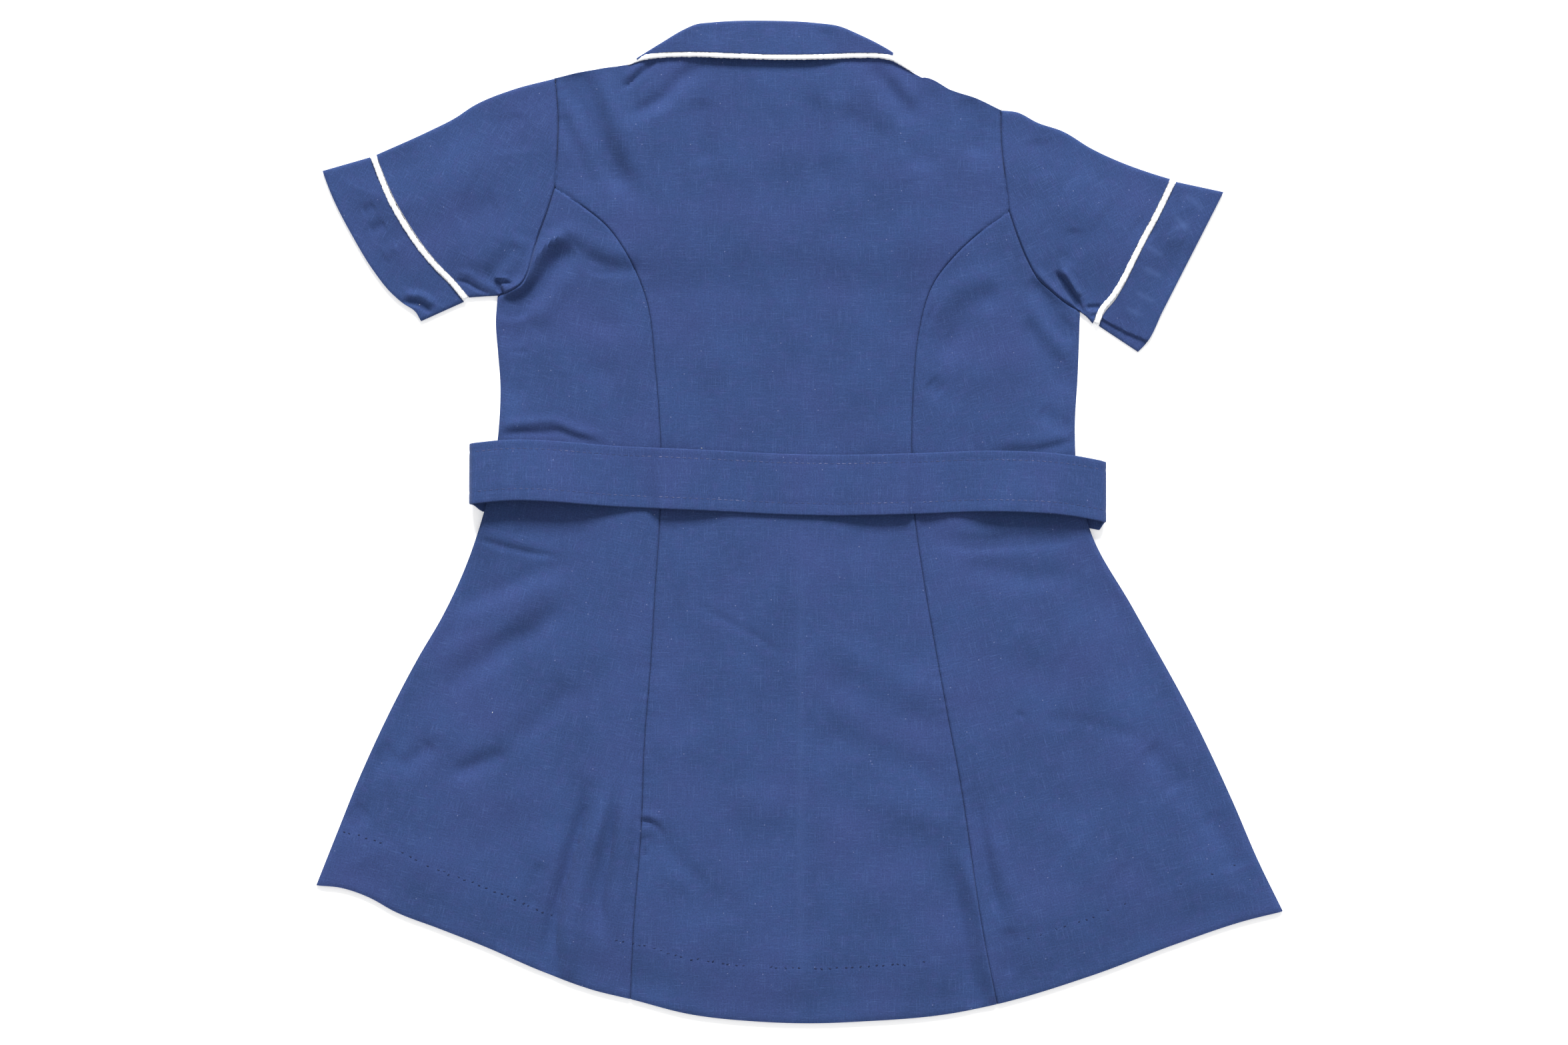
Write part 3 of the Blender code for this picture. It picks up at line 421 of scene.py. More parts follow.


# Creases of the back, listed one by one: path, half width, and height, below zero for a trough

backCreases = [
    # left underarm, where the armhole seam rolls over a deep fold
    ([(-166, 127.4), (-159, 129.6), (-153, 134.2), (-149.5, 141), (-145, 149), (-138.5, 156),
      (-130, 161)], 3.9, 4.6),
    ([(-172, 134), (-165, 139), (-159, 148), (-154, 160)], 8.0, 1.8),
    ([(-168, 119.5), (-157.5, 121.5), (-149, 126.5), (-142.5, 133.5), (-137.5, 141),
      (-132, 147), (-125, 151)], 5.0, -4.4),
    ([(-150, 110), (-142, 119), (-134, 130), (-124, 138)], 7.0, 1.0),
    ([(-134, 166), (-124, 160.5), (-114, 154), (-104, 150), (-92, 148)], 5.5, 0.9),
    ([(-120, 148), (-113, 144), (-104, 141), (-88, 139.5)], 4.6, -1.5),
    ([(-118, 139.5), (-110, 138.5), (-103, 138.5)], 1.2, -0.6),
    ([(-169, 117), (-160, 115.8), (-151, 117.5)], 2.4, -1.5),
    # left shoulder
    ([(-128, 252), (-121, 238), (-115, 224), (-110.5, 211), (-104, 197), (-96, 185)],
     6.4, -4.4),
    ([(-113, 248), (-106.5, 237), (-102, 226), (-98, 214), (-92.5, 201), (-87, 190)], 6.4, 1.5),
    ([(-135, 230), (-128, 215), (-122, 204), (-117, 192), (-114, 181)], 4.0, -1.3),
    ([(-127, 233), (-121.5, 220), (-116, 208)], 3.6, 0.7),
    # below the collar
    ([(-81.5, 256.5), (-87, 251), (-92, 246.7), (-97.5, 241.6)], 1.5, -2.6),
    ([(-86, 257), (-92, 251.5), (-98, 246)], 2.4, 1.0),
    ([(-57, 253), (-67, 246), (-75, 236.5), (-83, 231.5), (-93, 227)], 4.4, -2.6),
    ([(-64, 240), (-74, 231), (-85, 225)], 6.0, 0.9),
    ([(-54, 236), (-54, 218), (-52.5, 198)], 6.5, -1.8),
    ([(9.5, 238), (9, 218), (9.5, 205), (13, 186)], 5.5, -2.1),
    ([(20, 240), (20, 218), (22, 198)], 6.0, 1.3),
    ([(39, 253), (49, 241.5), (58, 231.5), (64, 222)], 5.2, -1.9),
    ([(50, 252), (58, 243), (66, 233)], 4.6, 1.1),
    ([(22, 228), (38, 219.5), (54, 213)], 7.5, -1.1),
    ([(69, 243), (72, 222), (67, 195)], 7.0, -2.2),
    ([(92, 236), (96, 222), (97, 203)], 5.6, -2.4),
    ([(56, 207), (62, 188)], 9.0, 0.9),
    # right underarm
    ([(132, 140), (138.5, 132), (146, 125.5), (155, 120.5)], 2.8, 1.6),
    ([(129, 136.5), (133.5, 127.5), (138.3, 120), (141.8, 113.5), (147.7, 107), (155, 102)],
     4.8, -2.3),
    ([(126, 124), (133, 112), (139.5, 103), (149, 91)], 5.0, 0.9),
    ([(128, 113.5), (131, 103.5), (137, 95.5), (141, 89.5), (146.5, 82), (152.5, 74)],
     6.4, -1.5),
    ([(113, 127), (99, 122), (92, 114.5), (88.5, 106.5), (83.5, 98), (78, 90)], 7.0, -1.7),
    ([(74, 112), (82, 126), (96, 134), (112, 137)], 6.5, 1.1),
    ([(72, 78), (79, 71)], 5.0, -1.2),
    ([(67.5, 92), (70.5, 108), (77, 124)], 1.6, -0.6),
    # bodice, above the belt
    ([(-168, 54), (-152, 55), (-138, 56), (-126, 51.5), (-112, 47.5)], 3.0, 1.1),
    ([(-168, 48.5), (-153, 49.2), (-143, 49.4), (-134, 49.8), (-125, 46.4), (-110, 42.8)],
     2.0, -1.2),
    ([(-168.5, 106), (-153, 101)], 6.5, -1.5),
    ([(-156, 109), (-139, 106)], 6.5, -0.9),
    ([(-162, 94.6), (-151, 94.6)], 1.4, -0.5),
    ([(-117, 112), (-99, 108)], 6.8, -0.9),
    ([(-120, 84.5), (-101, 81)], 7.0, -0.9),
    ([(-167, 76), (-154, 70)], 6.0, -1.0),
    ([(112, 44), (134, 45.5), (152, 50)], 3.4, 0.5),
    ([(110, 38), (131, 38.8), (142, 41.5), (154, 45.5)], 2.3, -1.2),
    ([(134, 62), (142, 56), (152, 50)], 5.0, -1.2),
    ([(-40, 120), (0, 112), (40, 118)], 14.0, 0.9),
    # skirt, left
    ([(-180, -4.5), (-168, -8), (-156, -11.5), (-142, -14.5)], 3.2, 0.5),
    ([(-179, -9.5), (-169.6, -13), (-163, -14.8), (-153.7, -17), (-136, -19.6)], 1.7, -0.9),
    ([(-195, -50), (-180, -42.5), (-165.5, -37), (-146, -29), (-128, -25)], 6.2, -1.3),
    ([(-190, -58), (-172, -50), (-152, -41), (-136, -34)], 6.0, 0.9),
    ([(-197, -95.5), (-186, -84), (-172, -76), (-162, -68.5), (-150, -62.5), (-141, -55),
      (-130, -48)], 6.8, -1.9),
    ([(-202, -78), (-186, -67), (-170, -60), (-158, -52.5), (-144, -43)], 6.4, 1.1),
    ([(-238, -136), (-226, -128)], 6.0, -1.5),
    ([(-223, -138), (-212, -130), (-204, -124)], 5.0, -1.6),
    ([(-194, -141), (-176, -134.5), (-163, -129)], 5.2, -1.8),
    ([(-205, -113), (-188, -126), (-170, -119)], 8.0, 0.7),
    ([(-163, -124), (-145, -111), (-123, -90)], 7.5, -1.3),
    ([(-253, -169), (-242, -160)], 6.0, -1.7),
    # the long trough of the left skirt, sharp at its bottom, and its neighbour
    ([(-119.5, -160), (-121.5, -168), (-124.8, -179), (-127.6, -188.6), (-130.5, -198),
      (-133.1, -206), (-134.8, -214), (-136, -222.3), (-136.8, -234), (-136.6, -252)], 1.1, -3.6),
    ([(-117.5, -150), (-122, -166), (-127, -182), (-131.5, -198), (-135.5, -212),
      (-138.5, -228), (-139, -258)], 4.2, -3.2),
    ([(-106.5, -150), (-111, -166), (-116, -182), (-120.5, -198), (-124.5, -213),
      (-127.5, -229), (-128, -258)], 5.0, 2.8),
    ([(-102.5, -160), (-104.3, -174), (-106, -186), (-108, -200), (-109.7, -212),
      (-110, -224)], 1.2, -1.3),
    ([(-103, -150), (-106, -172), (-109.5, -194), (-112, -214), (-112, -232)], 4.0, -2.0),
    ([(-95.5, -150), (-97, -170), (-99.5, -190), (-101.5, -210), (-102, -228)], 4.2, 2.0),
    ([(-144, -190), (-148, -203), (-150, -216)], 3.8, -1.3),
    # pucker beside the left princess seam
    ([(-89.5, -166.6), (-83, -168), (-79.4, -170.8), (-76.5, -176)], 1.4, -1.1),
    ([(-89, -163.5), (-82, -164.5), (-77, -167.5)], 2.2, 0.8),
    ([(-79, -172), (-73.7, -181.5), (-69, -188.5), (-60, -197), (-50, -204.5)], 5.5, -1.1),
    ([(-85.6, -174), (-84.2, -179), (-85.2, -184), (-87, -188)], 0.9, -1.5),
    ([(-87.2, -170.5), (-87.2, -176)], 1.5, 1.1),
    ([(-97, -178), (-93.5, -186), (-90.5, -191)], 0.9, -0.8),
    # skirt, centre
    ([(0.2, -10), (0.5, -90), (0, -180), (0.3, -272)], 2.6, 0.6),
    ([(-5.5, -10), (-5, -272)], 4.0, -0.4),
    ([(-58, -46), (-34, -59), (-8, -75)], 2.4, -0.5),
    ([(9, -66), (40, -80), (76, -97)], 9.0, 1.2),
    ([(11, -88), (44, -101), (78, -115)], 8.0, -0.8),
    ([(13, -117), (48, -131), (84, -147)], 8.5, -1.2),
    ([(35, -152), (60, -162), (88, -170)], 8.0, 1.0),
    ([(-40, -150), (-10, -165)], 12.0, 0.9),
    ([(-60, -222), (-30, -233)], 11.0, 0.9),
    # beside the right princess seam
    ([(82, -186), (84.5, -198), (86, -208), (88.5, -217), (90.5, -227), (92, -237),
      (92.5, -247), (94, -257), (97, -265), (99, -278)], 4.6, -3.0),
    ([(92.5, -188), (95.5, -200), (98, -210), (100.5, -220), (102.5, -232), (104, -244),
      (106.5, -256), (109, -270)], 3.8, 2.8),
    ([(98.5, -152), (101, -172), (103, -184), (105.5, -197), (109, -210), (112, -221)],
     3.4, -1.9),
    ([(116.5, -226), (117.3, -240), (117, -254)], 4.0, -1.6),
    ([(109, -176), (112.5, -192), (117.5, -210)], 4.0, 1.1),
    # skirt, right
    ([(80, -11.5), (100, -13), (120, -11), (152, -9)], 4.4, -2.2),
    ([(90, -22), (120, -30), (152, -32)], 7.0, -1.3),
    ([(134, -111), (152, -111), (168, -114.5), (179, -118), (191, -120.5)], 4.2, -0.6),
    ([(118, -60), (150, -75)], 12.0, 1.1),
    ([(193, -126), (204, -137), (212, -151)], 7.0, -1.8),
    ([(228, -162), (237, -180), (244, -195)], 5.6, -1.9),
    ([(150, -180), (176, -200)], 13.0, 1.2),
    ([(121.6, -107.4), (125, -109)], 1.2, -0.9),
    # left sleeve
    ([(-192, 134.6), (-186, 133.2), (-180.4, 130), (-174.8, 127.2), (-168, 125.8)], 1.1, -1.1),
    ([(-191, 139), (-184.5, 137.6), (-179.6, 134.4), (-173.5, 131), (-169, 128.5)], 2.2, 0.8),
    ([(-168.8, 134.4), (-167.8, 130.6), (-166, 126.5)], 1.3, -4.6),
    ([(-170.5, 135.6), (-166, 136), (-161.5, 135.2)], 1.3, 0.9),
    ([(-168.8, 133.4), (-165, 133), (-160, 132.6)], 0.9, -1.2),
    ([(-175, 133.5), (-168.3, 141.8), (-162.4, 148), (-157, 155)], 4.2, -1.2),
    ([(-183, 142), (-173, 152), (-165, 161)], 6.0, 0.8),
    ([(-200, 200), (-180, 190)], 14.0, 1.1),
    ([(-191, 168), (-168, 178)], 10.0, -1.3),
    ([(-160, 228), (-158, 205)], 9.0, -1.0),
    # right sleeve
    ([(143.8, 138), (146.6, 134), (150, 129), (153.6, 123.6), (157.4, 117.5)], 1.4, -5.0),
    ([(146.6, 141), (149.8, 136), (153.2, 130.6), (156.8, 125)], 2.0, 3.0),
    ([(160, 119.3), (168, 119.7)], 1.3, -1.8),
    ([(156.2, 119.2), (161.4, 114.6), (166, 115)], 1.1, -1.2),
    ([(148, 143), (152, 152), (153, 164)], 5.0, -1.3),
    ([(150, 190), (172, 172)], 14.0, 1.1),
    ([(134, 214), (137, 192)], 8.0, -1.1),
    ([(186, 166), (197, 157)], 7.0, -1.1),
    # cuffs
    ([(-223, 122.2), (-212.2, 120.8), (-206, 116.6)], 1.5, -2.6),
    ([(-220, 126.6), (-210, 125.4), (-203.5, 120.6)], 2.3, 1.7),
    ([(-237, 176), (-244, 172.5)], 3.2, -1.0),
    ([(-231, 166), (-240, 161.5)], 3.2, -1.0),
    ([(-224, 153.5), (-233, 149)], 4.0, 0.9),
    ([(205, 160), (214, 155.5)], 5.0, 0.8),
]
seamValues = {
    "drop": 0.85, "width": 0.55,          # the ditch where two panels are sewn together
    "armhole": 1.3,                       # the ditch round the sleeves, pulled tighter
    "pucker": 0.1, "puckerReach": 6.0, "puckerStep": 7.5,
    "allowance": 0.12, "allowanceWidth": 10.0,
}
hemValues = {"depth": 31.0, "raise": 0.2, "drop": 0.45, "round": 1.2,
             "pick": 4.3, "unevenness": 0.16, "dimple": 0.18, "dimpleWidth": 1.3, "drag": 4.0,
             "faintFrom": 0.62, "faint": 0.45}


def seamsOf(side):
    tables = sideTables[side]
    armhole = smoothLine(tables["armholeLow"]).tolist() + smoothLine(tables["armholeHigh"]).tolist()
    return smoothLine(tables["princess"], 5), np.array(armhole)


def hemPicks():
    # where the blind stitches of the hem catch the cloth
    line = hemLine + leftOf(hemLine) * hemValues["depth"]
    keptIn = (line[:, 0] > -256) & (line[:, 0] < 254)
    line = line[keptIn]
    chance = np.random.default_rng(5)
    length = lengthsAlong(line)[-1]
    count = int(length / hemValues["pick"])
    shares = (np.arange(count) + chance.normal(0, hemValues["unevenness"], count)) / count
    gaps = swells(shares * length, 0 * shares, 60.0, 8) < 1.0
    # fewer of them show to the right of the middle
    missed = np.where(shares > hemValues["faintFrom"], hemValues["faint"], 0.08)
    shares = np.sort(np.clip(shares[gaps & (chance.random(count) > missed)], 0, 1))
    return atShares(line, shares) + chance.normal(0, 0.3, (len(shares), 2))


picks = hemPicks()


def sewn(x, y):
    # ditches and puckers along the back's seams, rolled side edges and the doubled hem
    level = np.zeros(np.shape(x))
    for side in ("left", "right"):
        princess, armhole = seamsOf(side)
        for seam, drop, seed in ((princess, seamValues["drop"], 11),
                                 (armhole[::3], seamValues["armhole"], 12)):
            away, along = nearTo(x, y, seam)
            level -= drop * np.exp(-(away / seamValues["width"]) ** 2)
            wave = np.sin(along * 2 * np.pi / seamValues["puckerStep"]
                          + 2.2 * swells(along, 0 * along, 30.0, seed))
            reach = np.exp(-(away / seamValues["puckerReach"]) ** 2)
            level += seamValues["pucker"] * wave * reach * swells(along, 0 * along, 90.0, 13)
        away, along = nearTo(x, y, smoothLine(sideTables[side]["sideSeam"], 5))
        level -= 1.15 * np.exp(-(away / 1.5) ** 2)
    away, along = nearTo(x, y, hemLine[::2])
    level -= hemValues["drop"] * np.exp(-(away / hemValues["round"]) ** 2)
    level += hemValues["raise"] * fade(-away, -hemValues["depth"] - 0.8, 0.8 - hemValues["depth"])
    chance = np.random.default_rng(6)
    band = np.abs(away - hemValues["depth"]) < 3 * hemValues["drag"]
    if band.any():
        bandX, bandY, dent = x[band], y[band], np.zeros(band.sum())
        for (pickX, pickY), force in zip(picks, chance.uniform(0.4, 1.3, len(picks))):
            dx, dy = bandX - pickX, bandY - pickY
            dent += force * np.exp(-(dx**2 + dy**2) / hemValues["dimpleWidth"] ** 2)
            dent += 0.3 * force * np.exp(-(dx / 1.6) ** 2 - (dy / hemValues["drag"]) ** 2)
        level[band] -= hemValues["dimple"] * dent
    return level


# Back

backValues = {"step": 1.55, "sideStep": 1.38, "sideTurn": 14.0}


def backPanel(name, left, right, low, high, turn):
    grid = drawnIn(patch(low, high, left, right), clothValues["seamGap"])
    x, y = grid[..., 0], grid[..., 1]
    piece = addSheet(name, grid, backLevel(x, y, backCreases) + sewn(x, y),
                     clothValues["wall"], turn)
    return piece


def seamPoints(table, rows, low=None, high=None):
    line = smoothLine(table)
    low = line[0][1] if low is None else low
    high = line[-1][1] if high is None else high
    return atHeights(line, low + (high - low) * rows)


def backCentre():
    rows = spread(520.0, backValues["step"])
    columns = spread(170.0, backValues["step"])
    sides = {}
    for side in ("left", "right"):
        tables = sideTables[side]
        sides[side] = seamPoints(tables["princess"] + tables["armholeHigh"][1:], rows)
    left, right = sides["left"], sides["right"]
    low = atWidths(hemLine, left[0][0] + (right[0][0] - left[0][0]) * columns)
    high = atWidths(smoothLine(outlineTables["backTop"]),
                    left[-1][0] + (right[-1][0] - left[-1][0]) * columns)
    return backPanel("backCentre", left, right, low, high, 0.0)


def backSide(side):
    tables = sideTables[side]
    rows = spread(400.0, backValues["sideStep"])
    columns = spread(150.0, backValues["sideStep"])
    outer = seamPoints(tables["sideSeam"], rows)
    inner = seamPoints(tables["princess"], rows)
    low = outer[0][0] + (inner[0][0] - outer[0][0]) * columns
    low = atWidths(hemLine, low)
    high = atShares(smoothLine(tables["armholeLow"]), columns)
    if side == "left":
        return backPanel("backSideLeft", outer, inner, low, high, -backValues["sideTurn"])
    return backPanel("backSideRight", inner, outer, low[::-1], high[::-1],
                     backValues["sideTurn"])


# Fronts

frontValues = {"step": 3.6}
frontCreases = [
    ([(-150, 132), (-128, 152), (-112, 165)], 7.0, 1.2),
    ([(-190, -90), (-160, -72), (-130, -60)], 9.0, 0.9),
    ([(-110, -150), (-128, -200), (-138, -250)], 7.0, 1.2),
    ([(-60, -60), (-40, -120), (-36, -190)], 9.0, 0.8),
    ([(40, -70), (60, -130), (66, -220)], 9.0, 0.9),
    ([(110, -140), (140, -200), (150, -240)], 8.0, 1.1),
    ([(180, -110), (200, -160), (222, -205)], 8.0, 0.9),
    ([(130, 140), (118, 120), (100, 108)], 7.0, 1.0),
    ([(-100, 95), (-70, 88), (-50, 92)], 8.0, 0.7),
    ([(30, 80), (60, 90), (90, 84)], 8.0, 0.7),
]


def front(side):
    tables = sideTables[side]
    rows = spread(480.0, frontValues["step"])
    columns = spread(210.0, frontValues["step"])
    outer = [smoothLine(tables[key]) for key in ("sideSeam", "armholeLow", "armholeHigh")]
    outer = np.vstack([outer[0], outer[1][1:], outer[2][1:]])
    outer = atHeights(outer, outer[0][1] + (outer[-1][1] - outer[0][1]) * rows)
    inner = seamPoints(outlineTables["centreFront"], rows)
    low = atWidths(hemLine, outer[0][0] + (inner[0][0] - outer[0][0]) * columns)
    high = atWidths(smoothLine(tables["frontTop"]),
                    outer[-1][0] + (inner[-1][0] - outer[-1][0]) * columns)
    lines = (low, high, outer, inner)
    if side == "right":
        lines = (low[::-1], high[::-1], inner, outer)
    grid = drawnIn(patch(*lines), clothValues["seamGap"])
    x, y = grid[..., 0], grid[..., 1]
    under = backLevel(x, y, backCreases) - clothValues["wall"] - clothValues["clear"]
    level = np.minimum(frontLevel(x, y, frontCreases), under)
    return addSheet("front" + side.capitalize(), grid, level, clothValues["wall"])


# Sleeves and cuffs, each a flattened tube

sleeveValues = {"step": 1.3, "fold": 2.4, "slot": 1.9}
cuffValues = {"pitch": 0.8, "wall": 0.95, "stepDrop": 1.45,
              "step": [(163.0, 115.5), (169.0, 113.1), (178.5, 107.8), (186.0, 104.2),
                       (191.0, 102.2), (198.0, 99.0)]}

def tubeRing(row, top, bottom, inset, wall):
    # one ring of a flattened tube: the upper run, a fold, the lower run and the other fold
    along = lengthsAlong(row)
    middle = (top + bottom) / 2
    away = np.minimum(along, along[-1] - along)
    crown = np.sqrt(1 - (1 - np.clip(away / sleeveValues["fold"], 0, 1)) ** 2)
    half = np.maximum((top - bottom) / 2 * crown - wall, 0.04 * crown)
    share = (along / along[-1])[:, None]
    way = (row[-1] - row[0]) / np.linalg.norm(row[-1] - row[0])
    run = row + way * inset * (1 - 2 * share)
    upper = np.column_stack([run, middle + half])
    lower = np.column_stack([run, middle - half])
    return np.vstack([upper, lower[1:-1][::-1]])


def addTube(name, grid, top, bottom, wall, turn):
    # each row of the grid runs across the flattened tube, from fold to fold
    outer = [tubeRing(row, t, b, 0.0, 0.0) for row, t, b in zip(grid, top, bottom)]
    inner = [tubeRing(row, t, b, wall, wall) for row, t, b in zip(grid, top, bottom)]
    rows, around = len(outer), len(outer[0])
    outside = gridFaces(rows, around, True)
    inside = outside[:, ::-1] + rows * around
    i = np.arange(around)
    j = (i + 1) % around
    last, inward = (rows - 1) * around, rows * around
    ends = [np.column_stack([j, i, i + inward, j + inward]),
            np.column_stack([i + last, j + last, j + last + inward, i + last + inward])]
    mesh = meshOf(name, np.vstack(outer + inner), np.vstack([outside, inside] + ends))
    grainMap(mesh, turn)
    work = bmesh.new()
    work.from_mesh(mesh)
    bmesh.ops.recalc_face_normals(work, faces=work.faces)
    work.to_mesh(mesh)
    work.free()
    return keep(name, mesh)


def between(start, end, shares):
    return start + (end - start) * np.asarray(shares)[:, None]


def sheared(line, start, end):
    # moves a line's ends to two points and the rest in proportion
    share = (lengthsAlong(line) / lengthsAlong(line)[-1])[:, None]
    return line + (1 - share) * (start - line[0]) + share * (end - line[-1])


def sleeve(side):
    tables = sideTables[side]
    length = 135.0
    columns = spread(length, sleeveValues["step"], (0.0, 0.08, 0.3, 0.7, 1.3, 2.2))
    rows = spread(88.0, sleeveValues["step"])
    near = smoothLine(tables["armholeLow"])
    near = np.vstack([near, smoothLine(tables["armholeHigh"])[1:]])
    hand = tables["handWay"]
    near = near + leftOf(near) * hand * clothValues["seamGap"] / 2
    near = atShares(near, columns)
    far = smoothLine(tables["cuffLine"])
    far = atShares(far - leftOf(far) * hand * sleeveValues["slot"], columns)
    bottom = sheared(atShares(smoothLine(tables["sleeveBottom"]), rows), near[0], far[0])
    top = sheared(atShares(smoothLine(tables["sleeveTop"]), rows), near[-1], far[-1])
    grid = patch(near, far, bottom, top, 1.0, 1.0)
    x, y = grid[..., 0], grid[..., 1]
    level = backLevel(x, y, backCreases) + armholeDitch(x, y, side)
    base = frontLevel(x, y, []) - clothValues["wall"]
    return addTube("sleeve" + side.capitalize(), grid, level, base, clothValues["wall"],
                   hand * 62.0)


def armholeDitch(x, y, side):
    armhole = seamsOf(side)[1]
    away, along = nearTo(x, y, armhole[::3])
    return -seamValues["armhole"] * np.exp(-(away / seamValues["width"]) ** 2)


def cuff(side):
    tables = sideTables[side]
    hand = tables["handWay"]
    columns = spread(95.0, cuffValues["pitch"], (0.0, 0.08, 0.3, 0.7, 1.3, 2.0))
    rows = spread(28.0, cuffValues["pitch"], (0.0, 0.15, 0.5, 1.1))
    near = smoothLine(tables["cuffLine"])
    near = atShares(near + leftOf(near) * hand * sleeveValues["slot"], columns)
    far = atShares(smoothLine(tables["cuffHem"]), columns)
    grid = patch(near, far, between(near[0], far[0], rows), between(near[-1], far[-1], rows),
                 1.0, 1.0)
    x, y = grid[..., 0], grid[..., 1]
    away = nearTo(x, y, smoothLine(tables["cuffHem"], 5))[0]
    level = backLevel(x, y, backCreases) - 0.4 * np.exp(-(away / 0.8) ** 2)
    if side == "right":
        # the upper layer ends short of the fold, and the lower one shows beside it
        step = smoothLine(cuffValues["step"])
        away, along = nearTo(x, y, step)
        below = y < np.interp(x, step[:, 0], step[:, 1])
        away = np.where(below, away, -away)
        shown = fade(-x, -step[-1, 0] - 3, 3 - step[-1, 0])
        level -= cuffValues["stepDrop"] * fade(away, -0.35, 0.75) * shown
    base = 0 * x + 0.2 * np.exp(-(away / 0.8) ** 2)
    return addTube("cuff" + side.capitalize(), grid, level, base, cuffValues["wall"],
                   hand * 62.0)


# Piping: a cord in white cloth, let into a seam

pipingValues = {"width": 3.3, "height": 2.1, "sides": 14, "step": 0.6, "puff": 0.09,
                "notchPitch": 2.7, "notch": 0.13, "taper": 13.0}


def addPiping(name, path, across, closed, taper=1.0):
    # sweeps an oval along a path, a little thicker and thinner as cloth on a cord is
    path = np.asarray(path, float)
    ahead = np.roll(path, -1, axis=0) - np.roll(path, 1, axis=0)
    if not closed:
        ahead[0], ahead[-1] = path[1] - path[0], path[-1] - path[-2]
    ahead /= np.linalg.norm(ahead, axis=1)[:, None]
    across = np.broadcast_to(across, path.shape)
    normal = np.cross(ahead, across)
    normal /= np.linalg.norm(normal, axis=1)[:, None]
    across = np.cross(normal, ahead)
    along = np.concatenate([[0.0], np.cumsum(np.linalg.norm(np.diff(path, axis=0), axis=1))])
    turns = np.linspace(0, 2 * np.pi, pipingValues["sides"], endpoint=False)
    thick = 1 + pipingValues["puff"] * swells(along, 0 * along, 5.0, 21) / 2
    notch = np.sin(np.pi * along / pipingValues["notchPitch"] + swells(along, 0 * along, 21.0, 22))
    thick = (thick - pipingValues["notch"] * np.abs(notch) ** 9) * taper
    if not closed:
        ends = np.minimum(along, along[-1] - along)
        thick = thick * (0.25 + 0.75 * np.sqrt(np.clip(ends / 1.6, 0, 1)))
    half = pipingValues["width"] / 2 * thick
    rise = pipingValues["height"] / 2 * thick
    rings = (path[:, None] + across[:, None] * (np.cos(turns)[None, :, None] * half[:, None, None])
             + normal[:, None] * (np.sin(turns)[None, :, None] * rise[:, None, None]))
    points = rings.reshape(-1, 3)
    sides = len(turns)
    faces = gridFaces(len(path), sides, True)
    if closed:
        i = np.arange(sides)
        j = (i + 1) % sides
        last = (len(path) - 1) * sides
        faces = np.vstack([faces, np.column_stack([i + last, j + last, j, i])])
    mesh = bpy.data.meshes.new(name)
    every = faces.tolist()
    if not closed:
        every += [list(range(sides))[::-1], list(range(len(points) - sides, len(points)))]
    mesh.from_pydata((points * mm).tolist(), [], every)
    layer = mesh.uv_layers.new(name="grain")
    corners = np.empty(len(mesh.loops), int)
    mesh.loops.foreach_get("vertex_index", corners)
    v = along[corners // sides] * mm
    u = turns[corners % sides] * pipingValues["width"] / 2 * mm
    layer.data.foreach_set("uv", np.column_stack([u, v]).ravel())
    work = bmesh.new()
    work.from_mesh(mesh)
    bmesh.ops.recalc_face_normals(work, faces=work.faces)
    work.to_mesh(mesh)
    work.free()
    return keep(name, mesh, 60)


def cuffPiping(side):
    line = smoothLine(sideTables[side]["cuffLine"])
    length = lengthsAlong(line)[-1]
    line = atShares(line, np.linspace(0, 1, int(length / pipingValues["step"])))
    half = pipingValues["height"] / 2
    lowest = 3.6
    turn = (lowest - half) / 2
    start = (line[1] - line[0]) / np.linalg.norm(line[1] - line[0])
    finish = (line[-1] - line[-2]) / np.linalg.norm(line[-1] - line[-2])
    line = sheared(line, line[0] + start * (turn + half), line[-1] - finish * (turn + half))
    top = np.maximum(backLevel(line[:, 0], line[:, 1], backCreases, 0.0) + 0.1, lowest)
    along = lengthsAlong(line)
    ends = fade(np.minimum(along, along[-1] - along), 0, 14)
    top = lowest + (top - lowest) * ends
    path = [(x, y, z) for (x, y), z in zip(line, top)]
    for angle in np.radians(np.linspace(80, -80, 9)):
        x, y = line[-1] + finish * turn * np.cos(angle)
        path.append((x, y, half + turn + turn * np.sin(angle)))
    path += [(x, y, half) for x, y in line[::-1]]
    for angle in np.radians(np.linspace(-80, 80, 9)):
        x, y = line[0] - start * turn * np.cos(angle)
        path.append((x, y, half + turn + turn * np.sin(angle)))
    whole = line[-1] - line[0]
    across = np.array([-whole[1], whole[0], 0]) / np.linalg.norm(whole)
    return addPiping("cuffPiping" + side.capitalize(), path, across, True)


def leafPiping(side):
    line = smoothLine(sideTables[side]["leafOuter"])
    count = int(lengthsAlong(line)[-1] / pipingValues["step"] / 1.5)
    line = atShares(line, np.linspace(0, 1, count))
    across = np.column_stack([leftOf(line), np.zeros(len(line))])
    path = [(x, y, pipingValues["height"] / 2) for x, y in line]
    return addPiping("collarPiping" + side.capitalize(), path, across, False)


def collarPiping():
    line = smoothLine(outlineTables["fallEdge"])
    count = int(lengthsAlong(line)[-1] / pipingValues["step"])
    line = atShares(line, np.linspace(0.004, 0.996, count))
    line[:, 1] -= collarValues["seenShift"]
    along = lengthsAlong(line)
    ends = fade(np.minimum(along, along[-1] - along), 0, pipingValues["taper"])
    level = backLevel(line[:, 0], line[:, 1], [], 0.0)
    level = level + pipingValues["height"] / 2 - 0.6 + 1.05 * ends + fallLift(line[:, 0])
    return addPiping("collarPiping", np.column_stack([line, level]), (0.0, 1.0, 0.0), False,
                     0.42 + 0.58 * ends)


# Collar: stand and fall in one at the back, and two leaves under the fronts

